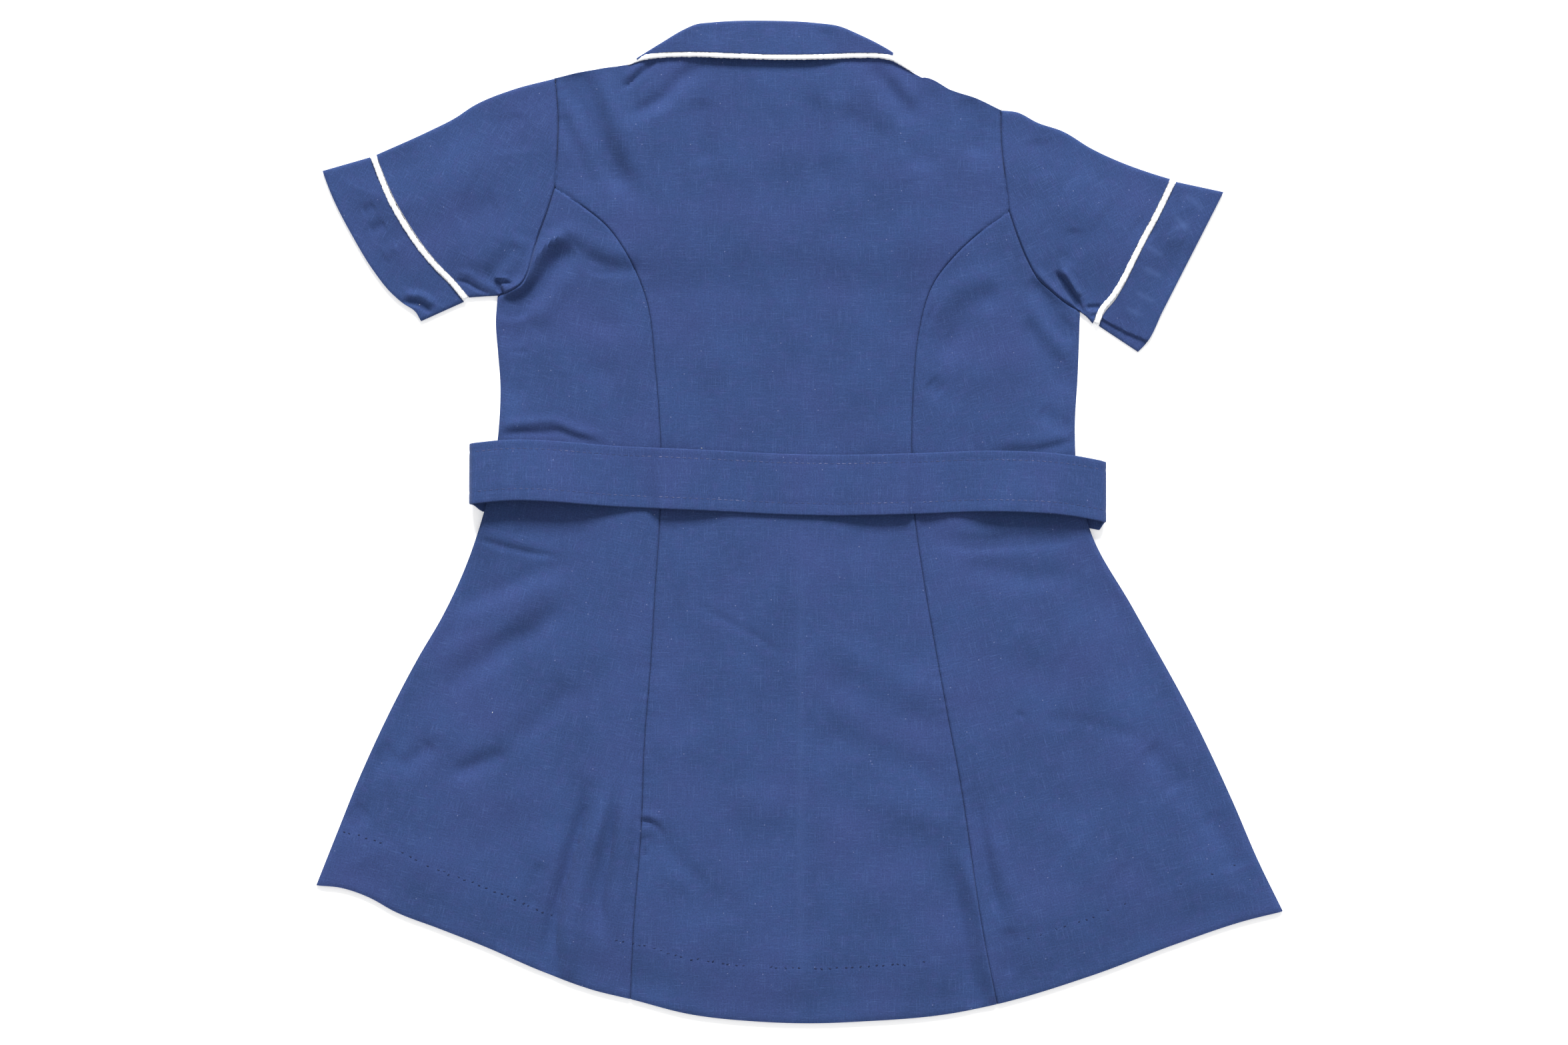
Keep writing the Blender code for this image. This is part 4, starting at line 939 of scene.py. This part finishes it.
collarValues = {"ends": (-90.6, 52.0), "step": 1.2, "turn": 1.5, "slot": 1.3, "wall": 0.9,
                "seenShift": 1.0,        # its height moves it outwards in the picture
                "stands": (-68, -46, 2, 26, 2.0)}


def fallLift(x):
    begin, full, less, end, height = collarValues["stands"]
    return height * fade(x, begin, full) * fade(-x, -end, -less)


def neckLevel(x):
    edge = atWidths(smoothLine(outlineTables["backTop"]), x)
    return backLevel(edge[:, 0], edge[:, 1] - 2.0, [], 0.0) - clothValues["solidWall"]


def collar():
    start, end = collarValues["ends"]
    x = start + (end - start) * spread(end - start, collarValues["step"])
    roll = smoothLine(outlineTables["rollLine"])
    fall = smoothLine(outlineTables["fallEdge"])
    neck = smoothLine(outlineTables["backTop"])
    half = collarValues["wall"] / 2
    rollY = np.interp(x, roll[:, 0], roll[:, 1]) - collarValues["seenShift"]
    fallY = np.interp(x, fall[:, 0], fall[:, 1]) - collarValues["seenShift"]
    radius = collarValues["turn"] * (0.3 + 0.7 * fade(rollY - fallY, 0.5, 9.0))
    fallY = fallY + collarValues["slot"] * fade(rollY - fallY, 0.5, 4.0)
    rollY = rollY - radius - half
    neckY = np.interp(x, neck[:, 0], neck[:, 1]) + 0.6
    fallY = np.minimum(fallY, rollY - 0.2)
    neckY = np.minimum(neckY, rollY - 0.2)
    base = neckLevel(x) + clothValues["solidWall"] / 2 + collarValues["turn"] - radius
    ys, zs = [], []
    for share in np.linspace(0, 1, 5):
        ys.append(neckY + (rollY - neckY) * share)
        zs.append(base + 0 * x)
    for angle in np.radians(np.linspace(-75, 75, 11)):
        ys.append(rollY + radius * math.cos(angle))
        zs.append(base + radius * (1 + math.sin(angle)))
    for share in np.linspace(0, 1, 13):
        y = rollY + (fallY - rollY) * share
        bend = creased(x, y, collarCreases) + 0.12 * swells(x, y, 24.0, 31)
        ys.append(y)
        zs.append(base + 2 * radius + bend * min(1.0, share * 4) + fallLift(x) * share)
    grid = np.stack([np.broadcast_to(x, (len(ys), len(x))), np.array(ys)], axis=-1)
    rows, columns = len(ys), len(x)
    points = np.dstack([grid, np.array(zs)]).reshape(-1, 3)
    mesh = meshOf("collarBack", points, gridFaces(rows, columns)[:, ::-1])
    grainMap(mesh, 0.0)
    piece = keep("collarBack", mesh)
    solid = piece.modifiers.new("wall", "SOLIDIFY")
    solid.thickness = collarValues["wall"] * mm
    solid.offset = 0
    edge = piece.modifiers.new("edge", "BEVEL")
    edge.width = 0.25 * mm
    edge.segments = 2
    edge.limit_method = "ANGLE"
    edge.angle_limit = math.radians(60)
    for modifier in list(piece.modifiers):
        bpy.ops.object.modifier_apply(modifier=modifier.name)
    bpy.ops.object.shade_smooth_by_angle(angle=math.radians(40))
    return piece


collarCreases = [
    ([(-44, 276), (-45, 266)], 4.0, -0.5),
    ([(16, 274), (17, 264)], 4.0, -0.5),
    ([(-20, 276), (-14, 265)], 6.0, 0.35),
]


def collarLeaf(side):
    tables = sideTables[side]
    rows = np.linspace(0, 1, 45)
    inner = atShares(smoothLine(tables["leafInner"]), rows)
    outer = smoothLine(tables["leafOuter"])
    outer = outer - leftOf(outer) * tables["handWay"] * collarValues["slot"]
    outer = atShares(outer, rows)
    lines = (inner, outer) if side == "right" else (outer, inner)
    low = between(lines[0][0], lines[1][0], np.linspace(0, 1, 16))
    high = between(lines[0][-1], lines[1][-1], np.linspace(0, 1, 16))
    grid = patch(low, high, *lines, 1.0, 1.0)
    top = 0 * grid[..., 0] + clothValues["wall"]
    return addSheet("collarLeaf" + side.capitalize(), grid, top, clothValues["wall"])


# Belt: one doubled strip round the waist

beltLook = {"step": 1.8, "topRow": 12.0, "lowRow": -10.3, "groove": 0.22, "grooveWidth": 0.9,
            "edge": 0.75,
            "level": 0.62}           # share of a wave that lifts the upper edge too
beltWaves = [
    # where the back run stands off the skirt: from, over, to, over, and by how much
    (-200, 16, -86, 52, 8.0), (-86, 10, -34, 38, 3.8), (2, 44, 65, 6, 3.3), (63, 6, 92, 26, 2.2),
    (84, 30, 184, 40, 5.0),
]


def beltPoints(path, across, out):
    # points of the strip: its path's x, z and share of the back run, then across and out of it
    ahead = np.gradient(path[:, :2], axis=0)
    ahead /= np.hypot(*ahead.T)[:, None]
    x, z, upper = path[:, 0, None], path[:, 1, None], path[:, 2, None]
    first, last = beltValues["middle"][0][0], beltValues["middle"][-1][0]
    inside = np.minimum(fade(x, first + 0.2, first + 8), fade(-x, 0.2 - last, 4 - last))
    y = beltMiddle(x) - beltValues["drop"] * inside * (1 - upper) + across
    rise = 0.16 * swells(x, y, 38.0, 41) * upper
    tilt = beltLook["level"] + (1 - beltLook["level"]) * fade(-across, -16, 17)
    for begin, start, finish, end, height in beltWaves:
        bump = fade(x, begin, begin + start) * fade(-x, -finish, end - finish)
        rise = rise + height * bump * upper * tilt
    px = x - ahead[:, 1, None] * out
    pz = z + ahead[:, 0, None] * out + rise
    return np.stack(np.broadcast_arrays(px, y, pz), axis=-1)


def beltSection():
    # half width and height of the strip's section, from its lower edge round
    half, thick = beltValues["width"] / 2, beltValues["wall"] / 2
    flat = np.linspace(-half + beltLook["edge"], half - beltLook["edge"], 24)
    turn = np.radians(np.linspace(-90, 90, 8)[1:-1])
    right = np.column_stack([half - beltLook["edge"] + beltLook["edge"] * np.cos(turn),
                             thick * np.sin(turn)])
    under = np.column_stack([flat, np.full(len(flat), -thick)])
    over = np.column_stack([flat[::-1], np.full(len(flat), thick)])
    left = np.column_stack([-right[:, 0], -right[:, 1]])
    return np.vstack([under, right, over, left])


def belt():
    section = beltSection()
    groundZ = beltValues["wall"] / 2
    lift = 2 * clothValues["solidWall"] + clothValues["layerGap"] + 3 * beltValues["under"]
    backZ = beltValues["wall"] + lift + beltValues["wall"] / 2
    radius = (backZ - groundZ) / 2
    centre = atHeights(smoothLine(outlineTables["centreFront"]), [0.0])[0][0]
    left = beltValues["middle"][0][0] + radius + beltValues["wall"] / 2
    right = beltValues["middle"][-1][0] - radius - beltValues["wall"] / 2
    step = beltLook["step"]
    path = [(x, groundZ, 0.0) for x in np.arange(centre + beltValues["endGap"], right, step)]
    for angle in np.radians(np.linspace(-90, 90, 17)):
        path.append((right + radius * np.cos(angle), groundZ + radius * (1 + np.sin(angle)),
                     0.5 + 0.5 * np.sin(angle)))
    path += [(x, backZ, 1.0) for x in np.arange(right - step, left, -step)]
    for angle in np.radians(np.linspace(90, -90, 17)):
        path.append((left - radius * np.cos(angle), groundZ + radius * (1 + np.sin(angle)),
                     0.5 + 0.5 * np.sin(angle)))
    path += [(x, groundZ, 0.0) for x in np.arange(left + step, centre - beltValues["endGap"],
                                                  step)]
    path = np.array(path)
    groove = 0 * section[:, 0]
    for row in (beltLook["topRow"], beltLook["lowRow"]):
        groove = groove + np.exp(-((section[:, 0] - row) / beltLook["grooveWidth"]) ** 2)
    depth = section[:, 1] * (1 - beltLook["groove"] * groove)
    points = beltPoints(path, section[:, 0], depth).reshape(-1, 3)
    around = len(section)
    faces = gridFaces(len(path), around, True).tolist()
    faces += [list(range(around)), list(range(len(points) - around, len(points)))[::-1]]
    rows = [beltPoints(path, np.array([row]), np.array([-beltValues["wall"] / 2 * 0.84]))[:, 0]
            for row in (beltLook["topRow"], beltLook["lowRow"])]
    mesh = bpy.data.meshes.new("waistBelt")
    mesh.from_pydata((points * mm).tolist(), [], faces)
    along = np.concatenate([[0.0], np.cumsum(np.hypot(*np.diff(path[:, :2], axis=0).T))])
    layer = mesh.uv_layers.new(name="grain")
    corners = np.empty(len(mesh.loops), int)
    mesh.loops.foreach_get("vertex_index", corners)
    layer.data.foreach_set("uv", np.column_stack([section[corners % around, 0] * mm,
                                                  along[corners // around] * mm]).ravel())
    work = bmesh.new()
    work.from_mesh(mesh)
    bmesh.ops.recalc_face_normals(work, faces=work.faces)
    work.to_mesh(mesh)
    work.free()
    return keep("waistBelt", mesh, 50), rows


# Thread: one stitch is made and its copies are set in rows

stitchValues = {"sides": 8, "rings": 5, "length": 2.3, "width": 0.4, "height": 0.24,
                "pitch": 3.3, "pick": 1.55, "pickWidth": 0.85, "proud": 0.12, "glimpse": 2.6,
                "glimpseWidth": 0.3, "glimpsePitch": 2.3}


def stitchShape():
    bpy.ops.object.select_all(action="DESELECT")
    bpy.ops.mesh.primitive_uv_sphere_add(segments=stitchValues["sides"],
                                         ring_count=stitchValues["rings"], radius=0.5)
    shape = bpy.context.object
    bpy.ops.object.mode_set(mode="EDIT")
    bpy.ops.mesh.select_all(action="SELECT")
    bpy.ops.transform.rotate(value=math.pi / 2, orient_axis="Y", center_override=(0, 0, 0))
    bpy.ops.object.mode_set(mode="OBJECT")
    points = np.array([point.co[:] for point in shape.data.vertices])
    faces = [list(face.vertices) for face in shape.data.polygons]
    bpy.data.objects.remove(shape, do_unlink=True)
    # fuller ends than a ball's, as a thread has where it goes into the cloth
    points[:, 0] = np.sign(points[:, 0]) * 0.5 * (2 * np.abs(points[:, 0])) ** 0.8
    return points, faces


stitchPoints, stitchFaces = stitchShape()
lintValues = {"length": 0.85, "width": 0.32, "beltTop": 9.0}


def addStitches(name, places, ways, length, width, height, seed):
    # copies of the stitch, each along its way and flat on the cloth, joined in one mesh
    chance = np.random.default_rng(seed)
    points, faces = [], []
    for place, way in zip(places, ways):
        way = way / np.linalg.norm(way)
        side = np.cross((0.0, 0.0, 1.0), way)
        side /= np.linalg.norm(side)
        size = np.array([length, width, height]) * chance.uniform(0.82, 1.1, 3)
        turn = chance.normal(0, 0.07)
        way, side = way + side * turn, side - way * turn
        copy = stitchPoints * size
        faces += [[i + len(points) for i in face] for face in stitchFaces]
        points += (place + copy[:, :1] * way + copy[:, 1:2] * side
                   + copy[:, 2:] * np.cross(way, side)).tolist()
    mesh = bpy.data.meshes.new(name)
    mesh.from_pydata((np.array(points) * mm).tolist(), [], faces)
    return keep(name, mesh, 80)


def beltStitches():
    pitch = stitchValues["pitch"]
    spots = [resampled(row, pitch, 1.0 + i * 1.3) for i, row in enumerate(beltRows)]
    places = np.vstack([spot[0] for spot in spots])
    ways = np.vstack([spot[1] for spot in spots])
    flat = np.abs(ways[:, 2]) < 0.3
    return addStitches("beltStitches", places[flat], ways[flat], stitchValues["length"],
                       stitchValues["width"], stitchValues["height"], 61)


def onBack(line, sink):
    x, y = line[:, 0], line[:, 1]
    return np.column_stack([line, backLevel(x, y, backCreases) + sewn(x, y) - sink])


def hemStitches():
    chance = np.random.default_rng(62)
    ways = np.column_stack([np.ones(len(picks)), chance.normal(0, 0.5, len(picks)),
                            np.zeros(len(picks))])
    return addStitches("hemStitches", onBack(picks, -stitchValues["proud"]), ways,
                       stitchValues["pick"], stitchValues["pickWidth"], 0.34, 63)


lintPlaces = [
    # specks of lint: x, y and turn
    (-212.1, 121.1, 20), (-171.2, -106.5, 70), (-54.6, 40.9, 0), (-109.4, 36.3, -30),
]


def lint():
    table = np.array(lintPlaces)
    belted = (table[:, 1] < 39) & (table[:, 1] > 5)
    spots = onBack(table[:, :2], 0.0)
    spots[:, 2] = np.where(belted, lintValues["beltTop"], spots[:, 2] + 0.1)
    turns = np.radians(table[:, 2])
    ways = np.column_stack([np.cos(turns), np.sin(turns), 0 * turns])
    return addStitches("lint", spots, ways, lintValues["length"], lintValues["width"],
                       lintValues["width"], 65)


def seamStitches():
    # glimpses of thread down in the seams, painted near black as the shade in the seam ditch
    places, ways = [], []
    for side in ("left", "right"):
        for i, seam in enumerate(seamsOf(side)):
            spots, way = resampled(onBack(seam, 0.16), stitchValues["glimpsePitch"], 2.0 + i)
            low, high = beltEdges(spots[:, 0], 0)
            shown = (spots[:, 1] < low + 2) | (spots[:, 1] > high - 2)
            places.append(spots[shown])
            ways.append(way[shown])
    return addStitches("seamStitches", np.vstack(places), np.vstack(ways),
                       stitchValues["glimpse"], stitchValues["glimpseWidth"], 0.22, 64)


# Finishes

def newFinish(name):
    finish = bpy.data.materials.new(name)
    finish.use_nodes = True
    return finish, finish.node_tree, finish.node_tree.nodes["Principled BSDF"]


def addNode(tree, kind, links=None, **settings):
    node = tree.nodes.new(kind)
    for key, value in settings.items():
        setattr(node, key, value)
    for key, value in (links or {}).items():
        socket = node.inputs[key]
        if isinstance(value, bpy.types.NodeSocket):
            tree.links.new(value, socket)
        else:
            socket.default_value = value
    return node


def mixed(tree, factor, first, second, blend="MIX"):
    node = tree.nodes.new("ShaderNodeMix")
    node.data_type = "RGBA"
    node.blend_type = blend
    for socket, value in ((node.inputs[0], factor), (node.inputs[6], first),
                          (node.inputs[7], second)):
        if isinstance(value, bpy.types.NodeSocket):
            tree.links.new(value, socket)
        else:
            socket.default_value = value
    return node.outputs[2]


def stretchedNoise(tree, place, size, detail=2.0):
    # noise whose grains are about this wide and long, in millimetres
    node = addNode(tree, "ShaderNodeMapping", {"Vector": place, "Scale": (
        1 / (size[0] * mm), 1 / (size[1] * mm), 1 / (size[0] * mm))})
    noise = addNode(tree, "ShaderNodeTexNoise", {"Vector": node.outputs[0], "Scale": 1.0,
                                                 "Detail": detail, "Roughness": 0.5})
    return noise.outputs["Fac"]


def ramped(tree, value, low, high):
    node = addNode(tree, "ShaderNodeMapRange", {"Value": value, "From Min": low,
                                                "From Max": high}, clamp=True)
    return node.outputs[0]


navyLook = {
    "dark": (0.0176, 0.0370, 0.1150, 1.0),
    "mid": (0.0215, 0.0460, 0.1410, 1.0),
    "light": (0.0400, 0.0730, 0.1950, 1.0),
    "purple": (0.0255, 0.0420, 0.1370, 1.0),
    "lint": (0.1000, 0.1250, 0.2500, 1.0),
    # painted highlight colour of the pressing shine
    "paintedShine": (0.0560, 0.0980, 0.2500, 1.0),
    "thread": 0.42,          # pitch of the weave in millimetres
    "speckle": 0.17,         # how much lighter and darker the specks are
    "roughness": 0.9,
    "sheen": 0.1,
}


def navyCloth(name, look):
    finish, tree, shader = newFinish(name)
    place = addNode(tree, "ShaderNodeUVMap", uv_map="grain").outputs[0]
    weft = stretchedNoise(tree, place, (9.0, 0.45))
    warp = stretchedNoise(tree, place, (0.45, 12.0))
    grain = stretchedNoise(tree, place, (0.9, 0.8), 3.0)
    cloud = stretchedNoise(tree, place, (28.0, 36.0), 3.0)
    hue = stretchedNoise(tree, place, (60.0, 45.0), 2.0)
    blotch = stretchedNoise(tree, place, (7.0, 5.0), 2.0)
    colour = mixed(tree, ramped(tree, cloud, 0.3, 0.7), look["dark"], look["mid"])
    colour = mixed(tree, ramped(tree, hue, 0.45, 0.75), colour, look["purple"])
    colour = mixed(tree, ramped(tree, blotch, 0.5, 0.85), colour, look["purple"])
    colour = mixed(tree, ramped(tree, weft, 0.56, 0.84), colour, look["light"])
    colour = mixed(tree, ramped(tree, warp, 0.56, 0.88), colour, look["light"])
    speckle = addNode(tree, "ShaderNodeMapRange", {
        "Value": grain, "From Min": 0.32, "From Max": 0.68, "To Min": 1 - look["speckle"],
        "To Max": 1 + look["speckle"]}, clamp=True).outputs[0]
    colour = mixed(tree, 1.0, colour, speckle, "MULTIPLY")
    cell = addNode(tree, "ShaderNodeMapping", {"Vector": place, "Scale": (130.0, 150.0, 130.0)})
    flecks = addNode(tree, "ShaderNodeTexVoronoi", {"Vector": cell.outputs[0], "Scale": 1.0})
    fleck = ramped(tree, flecks.outputs["Distance"], 0.055, 0.03)
    colour = mixed(tree, fleck, colour, look["lint"])
    # painted highlight: the colour turns lighter where pressing shine would gleam
    paintedShine = addNode(tree, "ShaderNodeAttribute", attribute_name="paintedShine").outputs["Fac"]
    colour = mixed(tree, paintedShine, colour, look["paintedShine"])
    tree.links.new(colour, shader.inputs["Base Color"])
    pitch = 2 * math.pi / 20 / (look["thread"] * mm)
    threads = []
    for direction in ("X", "Y"):
        wave = addNode(tree, "ShaderNodeTexWave", {"Vector": place, "Scale": pitch,
                                                   "Distortion": 0.6, "Detail": 1.0},
                       wave_type="BANDS", bands_direction=direction)
        threads.append(wave.outputs["Fac"])
    weave = addNode(tree, "ShaderNodeMath", {0: threads[0], 1: threads[1]},
                    operation="MULTIPLY").outputs[0]
    slub = addNode(tree, "ShaderNodeMath", {0: weft, 1: warp}, operation="ADD").outputs[0]
    height = addNode(tree, "ShaderNodeMath", {0: slub, 1: 0.35, 2: weave},
                     operation="MULTIPLY_ADD").outputs[0]
    height = addNode(tree, "ShaderNodeMath", {0: grain, 1: 0.9, 2: height},
                     operation="MULTIPLY_ADD").outputs[0]
    bump = addNode(tree, "ShaderNodeBump", {"Height": height, "Strength": 0.4,
                                            "Distance": 0.13 * mm})
    tree.links.new(bump.outputs[0], shader.inputs["Normal"])
    shader.inputs["Roughness"].default_value = look["roughness"]
    shader.inputs["Sheen Weight"].default_value = look["sheen"]
    shader.inputs["Sheen Roughness"].default_value = 0.5
    shader.inputs["Sheen Tint"].default_value = (0.45, 0.56, 0.95, 1.0)
    shader.inputs["Specular IOR Level"].default_value = 0.22
    return finish


def threadFinish(name, first, second):
    # sewing thread, each stitch a little lighter or darker than the next
    finish, tree, shader = newFinish(name)
    place = addNode(tree, "ShaderNodeTexCoord").outputs["Object"]
    tone = addNode(tree, "ShaderNodeTexNoise", {"Vector": place, "Scale": 420.0, "Detail": 1.0})
    stretch = addNode(tree, "ShaderNodeTexNoise", {"Vector": place, "Scale": 26.0})
    share = addNode(tree, "ShaderNodeMath", {0: ramped(tree, tone.outputs["Fac"], 0.35, 0.65),
                                             1: ramped(tree, stretch.outputs["Fac"], 0.42, 0.6)},
                    operation="MULTIPLY").outputs[0]
    tree.links.new(mixed(tree, share, first, second), shader.inputs["Base Color"])
    twist = addNode(tree, "ShaderNodeTexWave", {"Vector": place, "Scale": 900.0,
                                                "Distortion": 1.0},
                    wave_type="BANDS", bands_direction="DIAGONAL")
    bump = addNode(tree, "ShaderNodeBump", {"Height": twist.outputs["Fac"], "Strength": 0.4,
                                            "Distance": 0.05 * mm})
    tree.links.new(bump.outputs[0], shader.inputs["Normal"])
    shader.inputs["Roughness"].default_value = 0.7
    shader.inputs["Specular IOR Level"].default_value = 0.2
    return finish


def whiteCloth(name):
    finish, tree, shader = newFinish(name)
    place = addNode(tree, "ShaderNodeUVMap", uv_map="grain").outputs[0]
    grain = stretchedNoise(tree, place, (0.5, 0.8), 3.0)
    soil = stretchedNoise(tree, place, (9.0, 14.0), 2.0)
    colour = mixed(tree, ramped(tree, soil, 0.35, 0.75), (0.87, 0.875, 0.885, 1), (0.79, 0.80, 0.83, 1))
    colour = mixed(tree, ramped(tree, grain, 0.5, 0.2), colour, (0.72, 0.74, 0.79, 1))
    tree.links.new(colour, shader.inputs["Base Color"])
    pitch = 2 * math.pi / 20 / (0.55 * mm)
    wave = addNode(tree, "ShaderNodeTexWave", {"Vector": place, "Scale": pitch,
                                               "Distortion": 0.8, "Detail": 1.0},
                   wave_type="BANDS", bands_direction="DIAGONAL")
    bump = addNode(tree, "ShaderNodeBump", {"Height": wave.outputs["Fac"], "Strength": 0.5,
                                            "Distance": 0.12 * mm})
    tree.links.new(bump.outputs[0], shader.inputs["Normal"])
    shader.inputs["Roughness"].default_value = 0.8
    shader.inputs["Sheen Weight"].default_value = 0.1
    return finish


# Assembly

def settle(piece, finish, slot, *nodes):
    piece.data.materials.clear()
    piece.data.materials.append(finish)
    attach(piece, "root")
    if nodes:
        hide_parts(*nodes)


navy = navyCloth("navyPolyCotton", navyLook)
navyBelt = navyCloth("navyBeltCloth", navyLook)
white = whiteCloth("whitePiping")


sheets = {}
sheets["backCentre"] = backCentre()
print("back centre")
for side in ("left", "right"):
    end = side.capitalize()
    for key, piece in (("backSide" + end, backSide(side)), ("front" + end, front(side)),
                       ("sleeve" + end, sleeve(side)), ("cuff" + end, cuff(side)),
                       ("collarLeaf" + end, collarLeaf(side))):
        sheets[key] = piece
    print(side, "side")
sheets["collarBack"] = collar()
sheets["waistBelt"], beltRows = belt()
# painted pressing-shine highlight on the back's centre line and the right cuff
for key in ("backCentre", "cuffRight"):
    addPaintedShine(sheets[key])
cadNames = {
    "backCentre": "back_centre", "backSideLeft": "back_side_left",
    "backSideRight": "back_side_right", "frontLeft": "front_left", "frontRight": "front_right",
    "sleeveLeft": "sleeve_left", "sleeveRight": "sleeve_right", "cuffLeft": "cuff_left",
    "cuffRight": "cuff_right", "collarBack": "collar", "collarLeafLeft": "collar_leaf_left",
    "collarLeafRight": "collar_leaf_right", "waistBelt": "belt",
}
for key, piece in sheets.items():
    if key == "waistBelt":
        settle(piece, navyBelt, "navy_belt", cadNames[key])
    else:
        settle(piece, navy, "navy_cloth", cadNames[key])
for piece, node in ((cuffPiping("left"), "cuff_piping_left"),
                    (cuffPiping("right"), "cuff_piping_right"),
                    (leafPiping("left"), "collar_piping_left"),
                    (leafPiping("right"), "collar_piping_right"),
                    (collarPiping(), "collar_piping")):
    settle(piece, white, "white_piping", node)
beltThread = threadFinish("beltThread", (0.026, 0.040, 0.115, 1), (0.125, 0.138, 0.262, 1))
# seam thread: real thread, painted near black for the shade down in the seam ditches
seamThreadAndShadow = threadFinish("seamThreadAndShadow", (0.006, 0.012, 0.045, 1), (0.013, 0.024, 0.078, 1))
# hem picks: real thread, painted much darker than the cloth to carry the shadow in each pick's dimple
hemThreadAndPickShadow = threadFinish("hemThreadAndPickShadow", (0.007, 0.014, 0.052, 1), (0.016, 0.030, 0.098, 1))
settle(beltStitches(), beltThread, "navy_belt")
settle(hemStitches(), hemThreadAndPickShadow, "navy_cloth")
settle(seamStitches(), seamThreadAndShadow, "navy_cloth")
settle(lint(), threadFinish("lintFibre", (0.55, 0.56, 0.6, 1), (0.8, 0.8, 0.82, 1)), "navy_cloth")
print("pieces done")


# Floor, lights and camera

stageValues = {"floor": 6.0, "floorColour": (0.93, 0.93, 0.93, 1.0), "world": 0.64,
               "key": 1710.0, "fill": 6.0, "cameraHeight": 2.0687, "lens": 85.0,
               "floorGlow": 0.3}       # keeps the paper white in the shade


def addFloor():
    bpy.ops.object.select_all(action="DESELECT")
    bpy.ops.mesh.primitive_plane_add(size=stageValues["floor"], location=(0, 0, -0.0002))
    floor = bpy.context.object
    floor.name = "floor"
    finish, tree, shader = newFinish("floorPaper")
    shader.inputs["Base Color"].default_value = stageValues["floorColour"]
    shader.inputs["Roughness"].default_value = 0.9
    shader.inputs["Emission Color"].default_value = (1, 1, 1, 1)
    shader.inputs["Emission Strength"].default_value = stageValues["floorGlow"]
    floor.data.materials.append(finish)
    return floor


def addLight(name, place, size, power, target=(0, 0, 0)):
    light = bpy.data.lights.new(name, "AREA")
    light.shape = "RECTANGLE"
    light.size, light.size_y = size
    light.energy = power
    lamp = bpy.data.objects.new(name, light)
    lamp.location = place
    way = Vector(target) - Vector(place)
    lamp.rotation_euler = way.to_track_quat("-Z", "Y").to_euler()
    bpy.context.scene.collection.objects.link(lamp)
    return lamp


floor = addFloor()
addLight("keyLight", (0.3, 7.8, 5.2), (4.2, 2.8), stageValues["key"])
addLight("fillLight", (0.2, -0.4, 2.2), (2.2, 2.2), stageValues["fill"])
world = bpy.data.worlds.new("studio")
world.use_nodes = True
world.node_tree.nodes["Background"].inputs[0].default_value = (1, 1, 1, 1)
world.node_tree.nodes["Background"].inputs[1].default_value = stageValues["world"]
bpy.context.scene.world = world
bpy.context.scene.view_settings.view_transform = "Standard"

camera = bpy.data.objects.new("camera", bpy.data.cameras.new("camera"))
camera.data.lens = stageValues["lens"]
camera.data.sensor_width = 36.0
camera.location = (-0.0087, -0.0006, stageValues["cameraHeight"])
bpy.context.scene.collection.objects.link(camera)
bpy.context.scene.camera = camera
